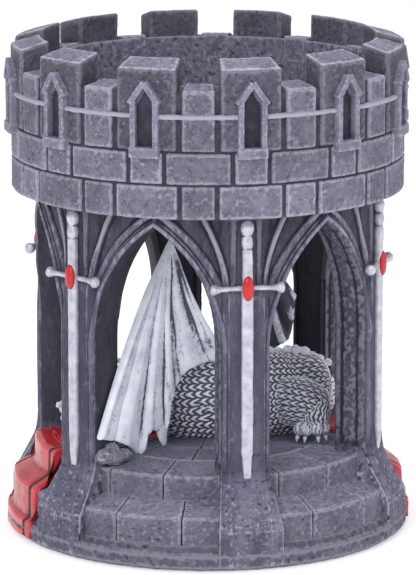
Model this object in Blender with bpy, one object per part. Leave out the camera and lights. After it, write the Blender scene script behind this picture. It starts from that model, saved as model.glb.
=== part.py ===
"""Castle dice tower: stepped base, six pillars with swords, crenellated bowl and a resting dragon.

Metres, +Z up, origin at the centre of the footprint on the table. Angles are measured from -Y
towards +X, so a pillar stands at 0 degrees and the carpets run out along +X and -X.
"""
import math

import bmesh
import bpy
from mathutils import Vector

# Driving dimensions
R = 0.062                          # outer radius of the parapet drum
GAP = 0.0003                       # clearance between neighbouring pieces
PILLARS = 6
MERLONS = 12
BAY = 2.0 * math.pi / PILLARS
MERLON_STEP = 2.0 * math.pi / MERLONS

# Base, as radii and heights
FELT_RADIUS = 0.97 * R
FELT_TOP = 0.018 * R
PLINTH_RADIUS = 1.03 * R
PLINTH_LIP = 0.096 * R
SLAB_TOP = 0.030 * R
STEP_FOOT = 0.131 * R
STEP_RADIUS = 0.982 * R
STEP_EDGE = 0.264 * R
FLOOR_FOOT = 0.331 * R
FLOOR_FOOT_RADIUS = 0.862 * R
FLOOR_RADIUS = 0.847 * R
FLOOR_EDGE = 0.435 * R
FLOOR_TOP = 0.455 * R
FLOOR_FLAT_RADIUS = 0.78 * R

# Carpet
CARPET_HALF_ANGLE = math.radians(16.5)
CARPET_HALF_WIDTH = 0.245 * R
CARPET_THICKNESS = 0.020 * R
CARPET_JOIN = 0.790 * R
CARPET_REACH = 1.04 * R

# Pillars and arcade
PILLAR_IN = 0.72 * R
PILLAR_RIB = 0.86 * R
PILLAR_FACE = 0.90 * R
PILLAR_HALF = 0.118 * R
PILLAR_FACE_HALF = 0.078 * R
FOOT_OUT = 1.025 * R
FOOT_HALF = 0.136 * R
FOOT_SHOULDER = 0.215 * R
FOOT_TOP = 0.432 * R
SPRING = 1.08 * R
ARCH_APEX = 1.70 * R

# Parapet drum
DRUM_IN = 0.84 * R
DRUM_BOTTOM = 1.761 * R
COURSE_JOINTS = (1.933 * R, 2.095 * R)
JOINT_DEPTH = 0.012 * R
STRING_HEIGHT = 2.270 * R
STRING_REACH = 1.018 * R
STRING_HALF = 0.012 * R
CRENEL_OUT = 2.396 * R
CRENEL_IN = 2.417 * R
MERLON_OUT = 2.500 * R
MERLON_IN = 2.545 * R
MERLON_HALF_ANGLE = math.radians(8.65)

# Lancet niche frames on the merlons
FRAME_BACK = R + GAP
FRAME_FRONT = 1.038 * R

# Swords
SWORD_BACK = PILLAR_FACE + GAP
SWORD_FRONT = 0.930 * R
GUARD_HEIGHT = 1.403 * R
GEM_FRONT = 0.952 * R

# The dragon lies across the floor, turned by this angle from the carpet's line
DRAGON_TURN = math.radians(12.3)
DRAGON_REST = FLOOR_TOP + GAP + CARPET_THICKNESS + GAP

SMOOTH_ANGLE = math.radians(35.0)


def clear_scene():
    for obj in list(bpy.data.objects):
        bpy.data.objects.remove(obj, do_unlink=True)


def material(name, colour, roughness, metallic=0.0):
    mat = bpy.data.materials.new(name)
    mat.use_nodes = True
    shader = mat.node_tree.nodes["Principled BSDF"]
    shader.inputs["Base Color"].default_value = (*colour, 1.0)
    shader.inputs["Roughness"].default_value = roughness
    shader.inputs["Metallic"].default_value = metallic
    return mat


def polar(radius, angle, height):
    return Vector((radius * math.sin(angle), -radius * math.cos(angle), height))


def add_object(name, bm, mat):
    bmesh.ops.recalc_face_normals(bm, faces=bm.faces)
    mesh = bpy.data.meshes.new(name)
    bm.to_mesh(mesh)
    bm.free()
    mesh.materials.append(mat)
    mesh.shade_smooth()
    mesh.set_sharp_from_angle(angle=SMOOTH_ANGLE)
    obj = bpy.data.objects.new(name, mesh)
    bpy.context.collection.objects.link(obj)
    return obj


def loft(name, loops, mat, ring=False):
    """A closed body through loops of points; ring=True joins the last loop to the first."""
    bm = bmesh.new()
    rows = [[bm.verts.new(point) for point in loop] for loop in loops]
    count = len(rows[0])
    pairs = list(zip(rows, rows[1:]))
    if ring:
        pairs.append((rows[-1], rows[0]))
    for lower, upper in pairs:
        for i in range(count):
            j = (i + 1) % count
            bm.faces.new((lower[i], lower[j], upper[j], upper[i]))
    if not ring:
        bm.faces.new(list(reversed(rows[0])))
        bm.faces.new(rows[-1])
    return add_object(name, bm, mat)


def turned(name, profile, segments, mat):
    """A solid of revolution; the profile runs from the axis at the bottom to the axis on top."""
    bm = bmesh.new()
    bottom = bm.verts.new((0.0, 0.0, profile[0][1]))
    top = bm.verts.new((0.0, 0.0, profile[-1][1]))
    rings = []
    for radius, height in profile[1:-1]:
        ring = [bm.verts.new(polar(radius, 2.0 * math.pi * k / segments, height)) for k in range(segments)]
        rings.append(ring)
    for k in range(segments):
        n = (k + 1) % segments
        bm.faces.new((bottom, rings[0][k], rings[0][n]))
        bm.faces.new((top, rings[-1][k], rings[-1][n]))
        for low, high in zip(rings, rings[1:]):
            bm.faces.new((low[k], low[n], high[n], high[k]))
    return add_object(name, bm, mat)


def swept(name, profile, start, end, steps, mat):
    """A closed (radius, height) profile swept about Z between two angles."""
    full = abs(end - start - 2.0 * math.pi) < 1e-6
    count = steps if full else steps + 1
    angles = [start + (end - start) * k / steps for k in range(count)]
    loops = [[polar(radius, angle, height) for radius, height in profile] for angle in angles]
    return loft(name, loops, mat, ring=full)


def extruded(name, outline, back, front, angle, mat):
    """An outline of (across, height) points, stood on a radius and extruded outwards."""
    across = Vector((math.cos(angle), math.sin(angle), 0.0))
    outward = polar(1.0, angle, 0.0)
    loops = []
    for reach in (back, front):
        loops.append([outward * reach + across * u + Vector((0.0, 0.0, z)) for u, z in outline])
    return loft(name, loops, mat)


def cutter_block(bm, angle, half, inner, outer, low, high):
    """One radial box added to a cutter mesh."""
    across = Vector((math.cos(angle), math.sin(angle), 0.0))
    outward = polar(1.0, angle, 0.0)
    verts = []
    for z in (low, high):
        for reach, side in ((inner, -half), (outer, -half), (outer, half), (inner, half)):
            verts.append(bm.verts.new(outward * reach + across * side + Vector((0.0, 0.0, z))))
    for face in ((0, 3, 2, 1), (4, 5, 6, 7), (0, 1, 5, 4), (1, 2, 6, 5), (2, 3, 7, 6), (3, 0, 4, 7)):
        bm.faces.new([verts[i] for i in face])


def cut_with(target, cutter):
    cutter.hide_render = True
    cutter.display_type = 'WIRE'
    boolean = target.modifiers.new("Cut", 'BOOLEAN')
    boolean.operation = 'DIFFERENCE'
    boolean.solver = 'EXACT'
    boolean.object = cutter


def build_base(stone, dark_stone, felt):
    turned("base_felt", [(0.0, 0.0), (FELT_RADIUS, 0.0), (FELT_RADIUS, FELT_TOP), (0.0, FELT_TOP)], 72, felt)
    low = FELT_TOP + GAP
    chamfer = 0.010 * R
    plinth = turned("base_plinth", [
        (0.0, low), (PLINTH_RADIUS - 3 * chamfer, low), (PLINTH_RADIUS, SLAB_TOP),
        (PLINTH_RADIUS, PLINTH_LIP - chamfer), (PLINTH_RADIUS - chamfer, PLINTH_LIP),
        (STEP_RADIUS + GAP, STEP_FOOT), (0.0, STEP_FOOT)], 72, dark_stone)
    step = turned("lower_step", [
        (0.0, STEP_FOOT + GAP), (STEP_RADIUS, STEP_FOOT + GAP), (STEP_RADIUS, STEP_EDGE - chamfer),
        (STEP_RADIUS - chamfer, STEP_EDGE), (FLOOR_FOOT_RADIUS, FLOOR_FOOT), (0.0, FLOOR_FOOT)], 72, stone)
    floor = turned("upper_floor", [
        (0.0, FLOOR_FOOT + GAP), (FLOOR_FOOT_RADIUS - GAP, FLOOR_FOOT + GAP),
        (FLOOR_RADIUS, FLOOR_EDGE - chamfer), (FLOOR_RADIUS - chamfer, FLOOR_EDGE),
        (FLOOR_FLAT_RADIUS, FLOOR_TOP), (0.0, FLOOR_TOP)], 72, stone)
    bm = bmesh.new()
    for k in range(PILLARS):
        cutter_block(bm, k * BAY, FOOT_HALF + GAP, PILLAR_IN - GAP, 1.2 * R, SLAB_TOP, 0.6 * R)
    cutter = add_object("foot_pockets", bm, dark_stone)
    for target in (plinth, step, floor):
        cut_with(target, cutter)


def build_carpet(cloth):
    lift = GAP
    thick = CARPET_THICKNESS
    outer = CARPET_REACH
    under = [
        (CARPET_JOIN, FLOOR_TOP + lift), (FLOOR_RADIUS + 0.010 * R, FLOOR_EDGE + 0.016 * R),
        (FLOOR_FOOT_RADIUS + 0.012 * R, FLOOR_FOOT + 0.010 * R),
        (STEP_RADIUS + 0.006 * R, STEP_EDGE + 0.008 * R), (STEP_RADIUS + 0.006 * R, STEP_FOOT + lift + 0.004 * R),
        (PLINTH_RADIUS + 0.003 * R, PLINTH_LIP + 0.004 * R), (PLINTH_RADIUS + GAP, SLAB_TOP)]
    over = [
        (outer, SLAB_TOP), (outer, 0.108 * R), (1.024 * R, 0.132 * R), (1.006 * R, 0.160 * R),
        (1.006 * R, 0.272 * R), (0.990 * R, 0.302 * R), (0.905 * R, 0.362 * R), (0.890 * R, 0.450 * R),
        (0.865 * R, 0.476 * R), (CARPET_JOIN, FLOOR_TOP + lift + thick)]
    for name, middle in (("carpet_right", 0.5 * math.pi), ("carpet_left", -0.5 * math.pi)):
        swept(name, under + over, middle - CARPET_HALF_ANGLE, middle + CARPET_HALF_ANGLE, 10, cloth)
    reach = CARPET_JOIN - 0.045 * R
    low = FLOOR_TOP + GAP
    outline = [(-reach, low), (reach, low), (reach, low + thick), (-reach, low + thick)]
    loops = []
    for y in (-CARPET_HALF_WIDTH, CARPET_HALF_WIDTH):
        loops.append([Vector((x, y, z)) for x, z in outline])
    loft("carpet_runner", loops, cloth)


def pillar_section(half, face_half, rib, face, height, angle):
    across = Vector((math.cos(angle), math.sin(angle), 0.0))
    outward = polar(1.0, angle, 0.0)
    points = ((-half, PILLAR_IN), (-half, rib), (-face_half, face), (face_half, face), (half, rib), (half, PILLAR_IN))
    return [outward * reach + across * side + Vector((0.0, 0.0, height)) for side, reach in points]


def build_pillars(stone):
    foot_face_half = FOOT_HALF - 0.02 * R
    for k in range(PILLARS):
        angle = k * BAY
        loops = [
            pillar_section(FOOT_HALF, foot_face_half, FOOT_OUT - 0.03 * R, FOOT_OUT - 0.010 * R, SLAB_TOP + GAP, angle),
            pillar_section(FOOT_HALF, foot_face_half, FOOT_OUT - 0.02 * R, FOOT_OUT, 0.06 * R, angle),
            pillar_section(FOOT_HALF, foot_face_half, FOOT_OUT - 0.025 * R, FOOT_OUT, FOOT_SHOULDER, angle),
            pillar_section(PILLAR_HALF, PILLAR_FACE_HALF, PILLAR_RIB, PILLAR_FACE, FOOT_TOP, angle),
            pillar_section(PILLAR_HALF, PILLAR_FACE_HALF, PILLAR_RIB, PILLAR_FACE, SPRING - GAP, angle)]
        loft(f"pillar_{k + 1}", loops, stone)


def arch_height(share):
    """Height of a pointed arch's soffit, for share 0 at one springing to 1 at the other."""
    half = (0.5 * BAY) * PILLAR_RIB - PILLAR_HALF
    rise = ARCH_APEX - SPRING
    radius = (half * half + rise * rise) / (2.0 * half)
    offset = half * (1.0 - abs(2.0 * share - 1.0))
    return SPRING + math.sqrt(max(0.0, radius * radius - (radius - offset) ** 2))


def build_arcade(stone):
    """The ring of six pointed arches between the pillar heads and the drum."""
    top = DRUM_BOTTOM - GAP
    pier = [(-PILLAR_HALF, PILLAR_RIB), (-PILLAR_FACE_HALF, PILLAR_FACE), (PILLAR_FACE_HALF, PILLAR_FACE),
            (PILLAR_HALF, PILLAR_RIB)]
    shares = [0.5 * (1.0 - math.cos(math.pi * 0.5 * k / 8)) for k in range(1, 9)]
    shares += [1.0 - share for share in reversed(shares[:-1])]
    loops = []
    for k in range(PILLARS):
        for side, face in pier:
            angle_out = k * BAY + math.atan2(side, face)
            angle_in = k * BAY + math.atan2(side, PILLAR_IN)
            loops.append((angle_out, math.hypot(side, face), angle_in, math.hypot(side, PILLAR_IN), SPRING))
        start_out = math.atan2(PILLAR_HALF, PILLAR_RIB)
        start_in = math.atan2(PILLAR_HALF, PILLAR_IN)
        for share in shares:
            angle_out = k * BAY + start_out + share * (BAY - 2.0 * start_out)
            angle_in = k * BAY + start_in + share * (BAY - 2.0 * start_in)
            reach_in = math.hypot(PILLAR_HALF, PILLAR_IN)
            loops.append((angle_out, math.hypot(PILLAR_HALF, PILLAR_RIB), angle_in, reach_in, arch_height(share)))
    rings = []
    for angle_out, reach_out, angle_in, reach_in, low in loops:
        rings.append([polar(reach_in, angle_in, low), polar(reach_out, angle_out, low),
                      polar(reach_out, angle_out, top), polar(reach_in, angle_in, top)])
    loft("arcade_arches", rings, stone, ring=True)


def build_drum(stone):
    """The bowl wall with its course joints and string moulding, cut back behind the niche frames."""
    profile = [(DRUM_IN, DRUM_BOTTOM), (R - JOINT_DEPTH, DRUM_BOTTOM), (R, DRUM_BOTTOM + JOINT_DEPTH)]
    for joint in COURSE_JOINTS:
        profile += [(R, joint - JOINT_DEPTH * 0.6), (R - JOINT_DEPTH, joint), (R, joint + JOINT_DEPTH * 0.6)]
    profile += [(R, STRING_HEIGHT - STRING_HALF), (STRING_REACH, STRING_HEIGHT - STRING_HALF * 0.5),
                (STRING_REACH, STRING_HEIGHT + STRING_HALF * 0.5), (R, STRING_HEIGHT + STRING_HALF)]
    profile += [(R, CRENEL_OUT), (DRUM_IN, CRENEL_IN)]
    wall = swept("parapet_wall", profile, 0.0, 2.0 * math.pi, 72, stone)
    bm = bmesh.new()
    for k in range(MERLONS):
        cutter_block(bm, k * MERLON_STEP, 0.080 * R, 1.0001 * R, 1.2 * R, 2.04 * R, 2.6 * R)
    cut_with(wall, add_object("frame_seats", bm, stone))


def build_merlons(stone):
    bevel = 0.014 * R
    profile = [(DRUM_IN, CRENEL_IN + GAP), (R, CRENEL_OUT + GAP), (R, MERLON_OUT - bevel), (R - bevel, MERLON_OUT),
               (DRUM_IN + bevel, MERLON_IN), (DRUM_IN, MERLON_IN - bevel)]
    for k in range(MERLONS):
        middle = k * MERLON_STEP
        swept(f"merlon_{k + 1:02d}", profile, middle - MERLON_HALF_ANGLE, middle + MERLON_HALF_ANGLE, 4, stone)


def build_niche_frames(stone):
    """A sill, two jambs and a pointed hood round a lancet opening, one on each merlon."""
    right_out = [(0.0745, 2.066), (0.0745, 2.121), (0.0600, 2.122), (0.0600, 2.300), (0.0800, 2.302), (0.0800, 2.338)]
    right_in = [(0.0445, 2.121), (0.0445, 2.160), (0.0445, 2.200), (0.0445, 2.290), (0.0430, 2.310), (0.0340, 2.340)]
    outer = right_out + [(0.0, 2.456)] + [(-u, z) for u, z in reversed(right_out)]
    inner = right_in + [(0.0, 2.398)] + [(-u, z) for u, z in reversed(right_in)]
    for k in range(MERLONS):
        angle = k * MERLON_STEP
        across = Vector((math.cos(angle), math.sin(angle), 0.0))
        outward = polar(1.0, angle, 0.0)
        loops = []
        for (out_u, out_z), (in_u, in_z) in zip(outer, inner):
            outside = across * (out_u * R) + Vector((0.0, 0.0, out_z * R))
            inside = across * (in_u * R) + Vector((0.0, 0.0, in_z * R))
            loops.append([outside + outward * FRAME_BACK, outside + outward * FRAME_FRONT,
                          inside + outward * FRAME_FRONT, inside + outward * FRAME_BACK])
        loft(f"niche_frame_{k + 1:02d}", loops, stone, ring=True)


def arc_points(centre_u, centre_z, radius, start, end, steps):
    points = []
    for k in range(steps + 1):
        angle = math.radians(start + (end - start) * k / steps)
        points.append((centre_u + radius * math.cos(angle), centre_z + radius * math.sin(angle)))
    return points


def sword_outline():
    """The sword seen from outside, point down: blade, guard with knuckled ends, grip, bead and pommel."""
    right = [(0.0210, 0.446), (0.0250, 0.540), (0.0290, 0.560), (0.0290, 1.386)]
    right += arc_points(0.168, 1.388, 0.017, -150.0, 10.0, 5)
    right += arc_points(0.168, 1.418, 0.017, -10.0, 150.0, 5)
    right += [(0.0270, 1.420), (0.0250, 1.590)]
    right += arc_points(0.006, 1.634, 0.028, -50.0, 50.0, 4)
    right += arc_points(0.002, 1.710, 0.033, -62.0, 75.0, 5)
    left = [(-u, z) for u, z in reversed(right)]
    return [(u * R, z * R) for u, z in right + left]


def build_swords(steel, ruby):
    outline = sword_outline()
    for k in range(PILLARS):
        angle = k * BAY
        extruded(f"sword_{k + 1}", outline, SWORD_BACK, SWORD_FRONT, angle, steel)
        loops = []
        for size, reach in ((1.0, SWORD_FRONT + GAP), (0.94, 0.941 * R), (0.55, GEM_FRONT)):
            loops.append(oval(0.028 * R * size, 0.065 * R * size, GUARD_HEIGHT + 0.004 * R, reach, angle))
        loft(f"sword_gem_{k + 1}", loops, ruby)


def oval(half_width, half_height, height, reach, angle, steps=14):
    across = Vector((math.cos(angle), math.sin(angle), 0.0))
    outward = polar(1.0, angle, 0.0)
    points = []
    for k in range(steps):
        turn = 2.0 * math.pi * k / steps
        rise = Vector((0.0, 0.0, height + half_height * math.sin(turn)))
        points.append(outward * reach + across * (half_width * math.cos(turn)) + rise)
    return points


def lair(along, near, height):
    """A point in the dragon's own frame (along its back, towards its near side, up), in drum radii."""
    x = along * math.cos(DRAGON_TURN) - near * math.sin(DRAGON_TURN)
    y = -(near * math.cos(DRAGON_TURN) + along * math.sin(DRAGON_TURN))
    return Vector((x * R, y * R, height * R))


def limb(name, stations, mat, sides=12, lowest=DRAGON_REST):
    """A tapering body through (along, near, height, half width, half height) stations, flat underneath."""
    centres = [Vector(station[:3]) for station in stations]
    loops = []
    for i, (along, near, height, half_width, half_height) in enumerate(stations):
        before = centres[max(i - 1, 0)]
        after = centres[min(i + 1, len(centres) - 1)]
        heading = after - before
        heading.z = 0.0
        side = Vector((-heading.y, heading.x, 0.0)).normalized()
        loop = []
        for k in range(sides):
            turn = 2.0 * math.pi * k / sides
            offset = side * (half_width * math.cos(turn))
            point = lair(along + offset.x, near + offset.y, height + half_height * math.sin(turn))
            point.z = max(point.z, lowest)
            loop.append(point)
        loops.append(loop)
    return loft(name, loops, mat)


def wing(name, wrist, ribs, mat, thickness, wrist_width, steps=6):
    """A folded wing: straight ribs fan down from the wrist, and the membrane pleats between them."""
    rows = []
    count = len(ribs)
    for i, tip in enumerate(ribs):
        spread = (i / (count - 1) - 0.5) * wrist_width
        top = Vector(wrist) + Vector((spread, 0.0, 0.0))
        rows.append([top.lerp(Vector(tip), k / steps) for k in range(steps + 1)])
    bm = bmesh.new()
    faces = {}
    for layer, offset in (("front", 0.5 * thickness), ("back", -0.5 * thickness)):
        grid = []
        for row in rows:
            grid.append([bm.verts.new(lair(p.x, p.y + offset, p.z)) for p in row])
        faces[layer] = grid
    for grid in faces.values():
        for i in range(count - 1):
            for k in range(steps):
                bm.faces.new((grid[i][k], grid[i][k + 1], grid[i + 1][k + 1], grid[i + 1][k]))
    front, back = faces["front"], faces["back"]
    for i in range(count - 1):
        bm.faces.new((front[i][0], front[i + 1][0], back[i + 1][0], back[i][0]))
        bm.faces.new((front[i][-1], front[i + 1][-1], back[i + 1][-1], back[i][-1]))
    for k in range(steps):
        bm.faces.new((front[0][k], front[0][k + 1], back[0][k + 1], back[0][k]))
        bm.faces.new((front[-1][k], front[-1][k + 1], back[-1][k + 1], back[-1][k]))
    return add_object(name, bm, mat)


def build_dragon(hide):
    limb("dragon_body", [
        (-0.300, -0.050, 0.660, 0.125, 0.150), (-0.200, -0.040, 0.680, 0.190, 0.190),
        (-0.050, -0.040, 0.685, 0.225, 0.205), (0.120, -0.060, 0.680, 0.240, 0.205),
        (0.300, -0.090, 0.680, 0.235, 0.200), (0.420, -0.110, 0.680, 0.210, 0.195),
        (0.520, -0.130, 0.670, 0.150, 0.170)], hide)
    limb("dragon_neck", [
        (-0.307, -0.051, 0.680, 0.110, 0.130), (-0.400, -0.060, 0.700, 0.100, 0.110),
        (-0.490, -0.055, 0.700, 0.090, 0.095), (-0.570, -0.035, 0.660, 0.080, 0.080)], hide)
    limb("dragon_head", [
        (-0.577, -0.033, 0.630, 0.090, 0.090), (-0.640, -0.017, 0.620, 0.090, 0.085),
        (-0.700, 0.005, 0.590, 0.078, 0.068), (-0.780, 0.030, 0.560, 0.052, 0.048)], hide)
    limb("dragon_hind_leg", [
        (0.445, 0.170, 0.580, 0.050, 0.080), (0.510, 0.165, 0.580, 0.085, 0.090),
        (0.590, 0.150, 0.545, 0.080, 0.070), (0.650, 0.140, 0.520, 0.050, 0.040)], hide)
    limb("dragon_tail", [
        (0.608, -0.120, 0.610, 0.070, 0.095), (0.612, -0.210, 0.600, 0.080, 0.105),
        (0.595, -0.310, 0.570, 0.070, 0.090), (0.480, -0.420, 0.550, 0.065, 0.070),
        (0.300, -0.490, 0.540, 0.055, 0.055), (0.100, -0.520, 0.530, 0.045, 0.045),
        (-0.100, -0.500, 0.520, 0.030, 0.030)], hide)
    limb("dragon_forepaw", [
        (-0.340, 0.230, 0.500, 0.045, 0.050), (-0.400, 0.250, 0.515, 0.065, 0.055),
        (-0.480, 0.265, 0.505, 0.065, 0.050), (-0.550, 0.270, 0.495, 0.045, 0.035)], hide)
    tip = 0.470
    wing("dragon_near_wing", (-0.196, 0.260, 1.500), [
        (-0.520, 0.700, 0.585), (-0.470, 0.640, 0.560), (-0.410, 0.580, 0.530), (-0.350, 0.520, tip),
        (-0.310, 0.490, 0.520), (-0.265, 0.450, 0.570), (-0.218, 0.460, tip), (-0.130, 0.310, 0.720),
        (0.080, 0.170, 0.890)], hide, 0.040, 0.030)
    wing("dragon_far_wing", (0.200, -0.370, 1.430), [
        (0.060, -0.370, 0.780), (0.170, -0.390, 0.740), (0.280, -0.380, 0.780), (0.400, -0.360, 0.860),
        (0.460, -0.365, 1.090)], hide, 0.040, 0.040)


def main():
    clear_scene()
    stone = material("painted_stone", (0.20, 0.195, 0.235), 0.75)
    dark_stone = material("dark_painted_stone", (0.09, 0.088, 0.105), 0.8)
    felt = material("felt", (0.02, 0.02, 0.022), 0.95)
    cloth = material("red_paint", (0.58, 0.010, 0.025), 0.35)
    steel = material("silver_paint", (0.60, 0.60, 0.66), 0.35, 0.6)
    ruby = material("ruby_enamel", (0.65, 0.012, 0.020), 0.15)
    hide = material("dragon_paint", (0.60, 0.63, 0.72), 0.55)
    build_base(stone, dark_stone, felt)
    build_carpet(cloth)
    build_pillars(dark_stone)
    build_arcade(dark_stone)
    build_drum(stone)
    build_merlons(stone)
    build_niche_frames(stone)
    build_swords(steel, ruby)
    build_dragon(hide)


main()
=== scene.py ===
"""Looks of the castle dice tower: rough stone blocks, ribbed pillars, painted swords and a scaly dragon."""

import math

import bpy
import numpy as np
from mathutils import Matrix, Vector


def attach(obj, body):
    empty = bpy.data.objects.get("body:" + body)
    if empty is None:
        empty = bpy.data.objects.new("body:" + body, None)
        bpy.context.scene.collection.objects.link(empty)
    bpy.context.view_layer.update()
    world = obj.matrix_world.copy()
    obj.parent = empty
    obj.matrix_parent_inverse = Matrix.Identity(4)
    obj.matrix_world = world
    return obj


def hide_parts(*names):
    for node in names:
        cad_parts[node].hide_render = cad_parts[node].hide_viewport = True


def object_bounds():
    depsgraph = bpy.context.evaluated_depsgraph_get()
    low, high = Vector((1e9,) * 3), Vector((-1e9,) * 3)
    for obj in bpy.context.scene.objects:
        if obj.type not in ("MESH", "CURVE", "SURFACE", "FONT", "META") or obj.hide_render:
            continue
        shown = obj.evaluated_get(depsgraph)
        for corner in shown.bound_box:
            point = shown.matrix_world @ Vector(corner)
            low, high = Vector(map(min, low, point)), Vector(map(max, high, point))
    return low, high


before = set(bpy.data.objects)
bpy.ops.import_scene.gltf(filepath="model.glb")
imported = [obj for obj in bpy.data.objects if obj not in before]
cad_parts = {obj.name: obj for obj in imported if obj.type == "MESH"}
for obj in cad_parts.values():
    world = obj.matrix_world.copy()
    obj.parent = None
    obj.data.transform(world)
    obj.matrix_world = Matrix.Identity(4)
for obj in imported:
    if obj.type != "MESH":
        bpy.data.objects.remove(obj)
cad_low, cad_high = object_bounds()

# The drum's outer radius drives every size; the merlon tops stand 2.545 radii above the table.
HEIGHT_IN_RADII = 2.545
R = (cad_high[2] - cad_low[2]) / HEIGHT_IN_RADII
MM = 0.001
TURN = 2.0 * math.pi
PILLARS = 6
MERLONS = 12
BAY = TURN / PILLARS
BLOCK_TURN = TURN / MERLONS
DRAGON_TURN = math.radians(12.3)
rng = np.random.default_rng(7)


# ---------------------------------------------------------------- noise
def lattice(ix, iy, iz, seed):
    mixed = (ix * 374761393 + iy * 668265263 + iz * 1440662683 + seed * 1274126177) & 0x7FFFFFFF
    mixed = ((mixed ^ (mixed >> 13)) * 1103515245) & 0x7FFFFFFF
    mixed = ((mixed ^ (mixed >> 12)) * 1597334677) & 0x7FFFFFFF
    return ((mixed ^ (mixed >> 15)) & 0xFFFF) / 65535.0


def value_noise(points, seed):
    cell = np.floor(points).astype(np.int64)
    part = points - cell
    part = part * part * part * (part * (part * 6.0 - 15.0) + 10.0)
    total = np.zeros(len(points))
    for corner in range(8):
        step = np.array([corner & 1, (corner >> 1) & 1, (corner >> 2) & 1])
        weight = np.prod(np.where(step, part, 1.0 - part), axis=1)
        spot = cell + step
        total += weight * lattice(spot[:, 0], spot[:, 1], spot[:, 2], seed)
    return total * 2.0 - 1.0


def fbm(points, size, octaves=3, seed=0):
    """Fractal noise in about -1 to 1; size is the largest feature in metres."""
    flat = points.reshape(-1, 3) / size
    total = np.zeros(len(flat))
    gain = 1.0
    reach = 0.0
    for octave in range(octaves):
        total += gain * value_noise(flat * (2.03 ** octave) + 17.3 * octave, seed + octave)
        reach += gain
        gain *= 0.55
    return (total / reach).reshape(points.shape[:-1])


def smooth(low, high, value):
    t = np.clip((value - low) / (high - low), 0.0, 1.0)
    return t * t * (3.0 - 2.0 * t)


def bump(distance, half_width):
    """A half-round moulding: 1 on its line, 0 at its edge."""
    return np.sqrt(np.clip(1.0 - (distance / half_width) ** 2, 0.0, 1.0))


# ---------------------------------------------------------------- mesh building
def unit(vectors):
    """The same vectors at length one."""
    return vectors / np.linalg.norm(vectors, axis=-1, keepdims=True).clip(1e-12)


def stacked(*values):
    """Values broadcast together and stacked on a last axis, such as the x, y and z of points."""
    return np.stack(np.broadcast_arrays(*values), axis=-1)


def volume(verts, faces):
    """Signed volume under the faces, from triangles fanned round each one's first corner."""
    corners = verts[np.asarray(faces)]
    total = 0.0
    for k in range(1, corners.shape[1] - 1):
        total += np.einsum("ij,ij->", corners[:, 0], np.cross(corners[:, k], corners[:, k + 1]))
    return total / 6.0


class Shape:
    """Vertices, faces and a tone per vertex, gathered before one object is made."""

    def __init__(self):
        self.verts = []
        self.faces = []
        self.tones = []
        self.count = 0

    def add(self, verts, faces, tone=0.0):
        verts = np.asarray(verts, float).reshape(-1, 3)
        self.verts.append(verts)
        if sum(volume(verts, face) for face in faces) < 0.0:
            faces = [np.asarray(face)[:, ::-1] for face in faces]
        for face in faces:
            self.faces.append(np.asarray(face, np.int64) + self.count)
        tone = np.broadcast_to(np.asarray(tone, float), (len(verts),))
        self.tones.append(tone)
        self.count += len(verts)

    def add_tube(self, grid, tone=0.0):
        """A tube of closed rows with fanned caps; tone is one value, or one per point and then per cap."""
        self.add(capped(grid), tube_faces(*grid.shape[:2]), tone)


def grid_faces(rows, cols, closed_rows=False, closed_cols=False):
    """Quads between the points of a grid, joined round where its rows or columns close."""
    r = np.arange(rows if closed_rows else rows - 1)
    c = np.arange(cols if closed_cols else cols - 1)
    rr, cc = np.meshgrid(r, c, indexing="ij")
    nr = (rr + 1) % rows
    nc = (cc + 1) % cols
    corners = [rr * cols + cc, rr * cols + nc, nr * cols + nc, nr * cols + cc]
    return np.stack(corners, axis=-1).reshape(-1, 4)


def tube_faces(rows, cols):
    """Quads of a tube of closed rows, and fans to two cap vertices placed after the grid."""
    ring = np.arange(cols)
    after = (ring + 1) % cols
    last = (rows - 1) * cols
    low = np.stack([np.full(cols, rows * cols), after, ring], axis=-1)
    top = np.stack([np.full(cols, rows * cols + 1), last + ring, last + after], axis=-1)
    return [grid_faces(rows, cols, closed_cols=True), low, top]


def capped(grid):
    """Grid points of a tube with the centres of both ends added."""
    return np.concatenate([grid.reshape(-1, 3), grid[0].mean(0)[None], grid[-1].mean(0)[None]])


def relief_of(verts, edges, normals, rounds):
    """How far each vertex stands proud of its smoothed neighbourhood, in metres."""
    count = len(verts)
    degree = np.bincount(edges.ravel(), minlength=count).clip(1)[:, None]
    smoothed = verts.copy()
    for _ in range(rounds):
        total = np.zeros_like(smoothed)
        for axis in range(3):
            total[:, axis] += np.bincount(edges[:, 0], smoothed[edges[:, 1], axis], count)
            total[:, axis] += np.bincount(edges[:, 1], smoothed[edges[:, 0], axis], count)
        smoothed = 0.5 * smoothed + 0.5 * total / degree
    return ((verts - smoothed) * normals).sum(1)


def store(mesh, name, values):
    """A named number on every vertex, which the materials read."""
    attribute = mesh.attributes.new(name, "FLOAT", "POINT")
    attribute.data.foreach_set("value", np.asarray(values, np.float32))


def read_vectors(layer, key):
    values = np.empty(len(layer) * 3, np.float32)
    layer.foreach_get(key, values)
    return values.reshape(-1, 3)


def store_relief(mesh, rounds):
    full_relief = 0.12 * MM
    edges = np.empty(len(mesh.edges) * 2, np.int32)
    mesh.edges.foreach_get("vertices", edges)
    places = read_vectors(mesh.vertices, "co").astype(float)
    normals = read_vectors(mesh.vertex_normals, "vector").astype(float)
    relief = relief_of(places, edges.reshape(-1, 2), normals, rounds)
    store(mesh, "relief", np.clip(relief / full_relief, -1.0, 1.0))


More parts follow.
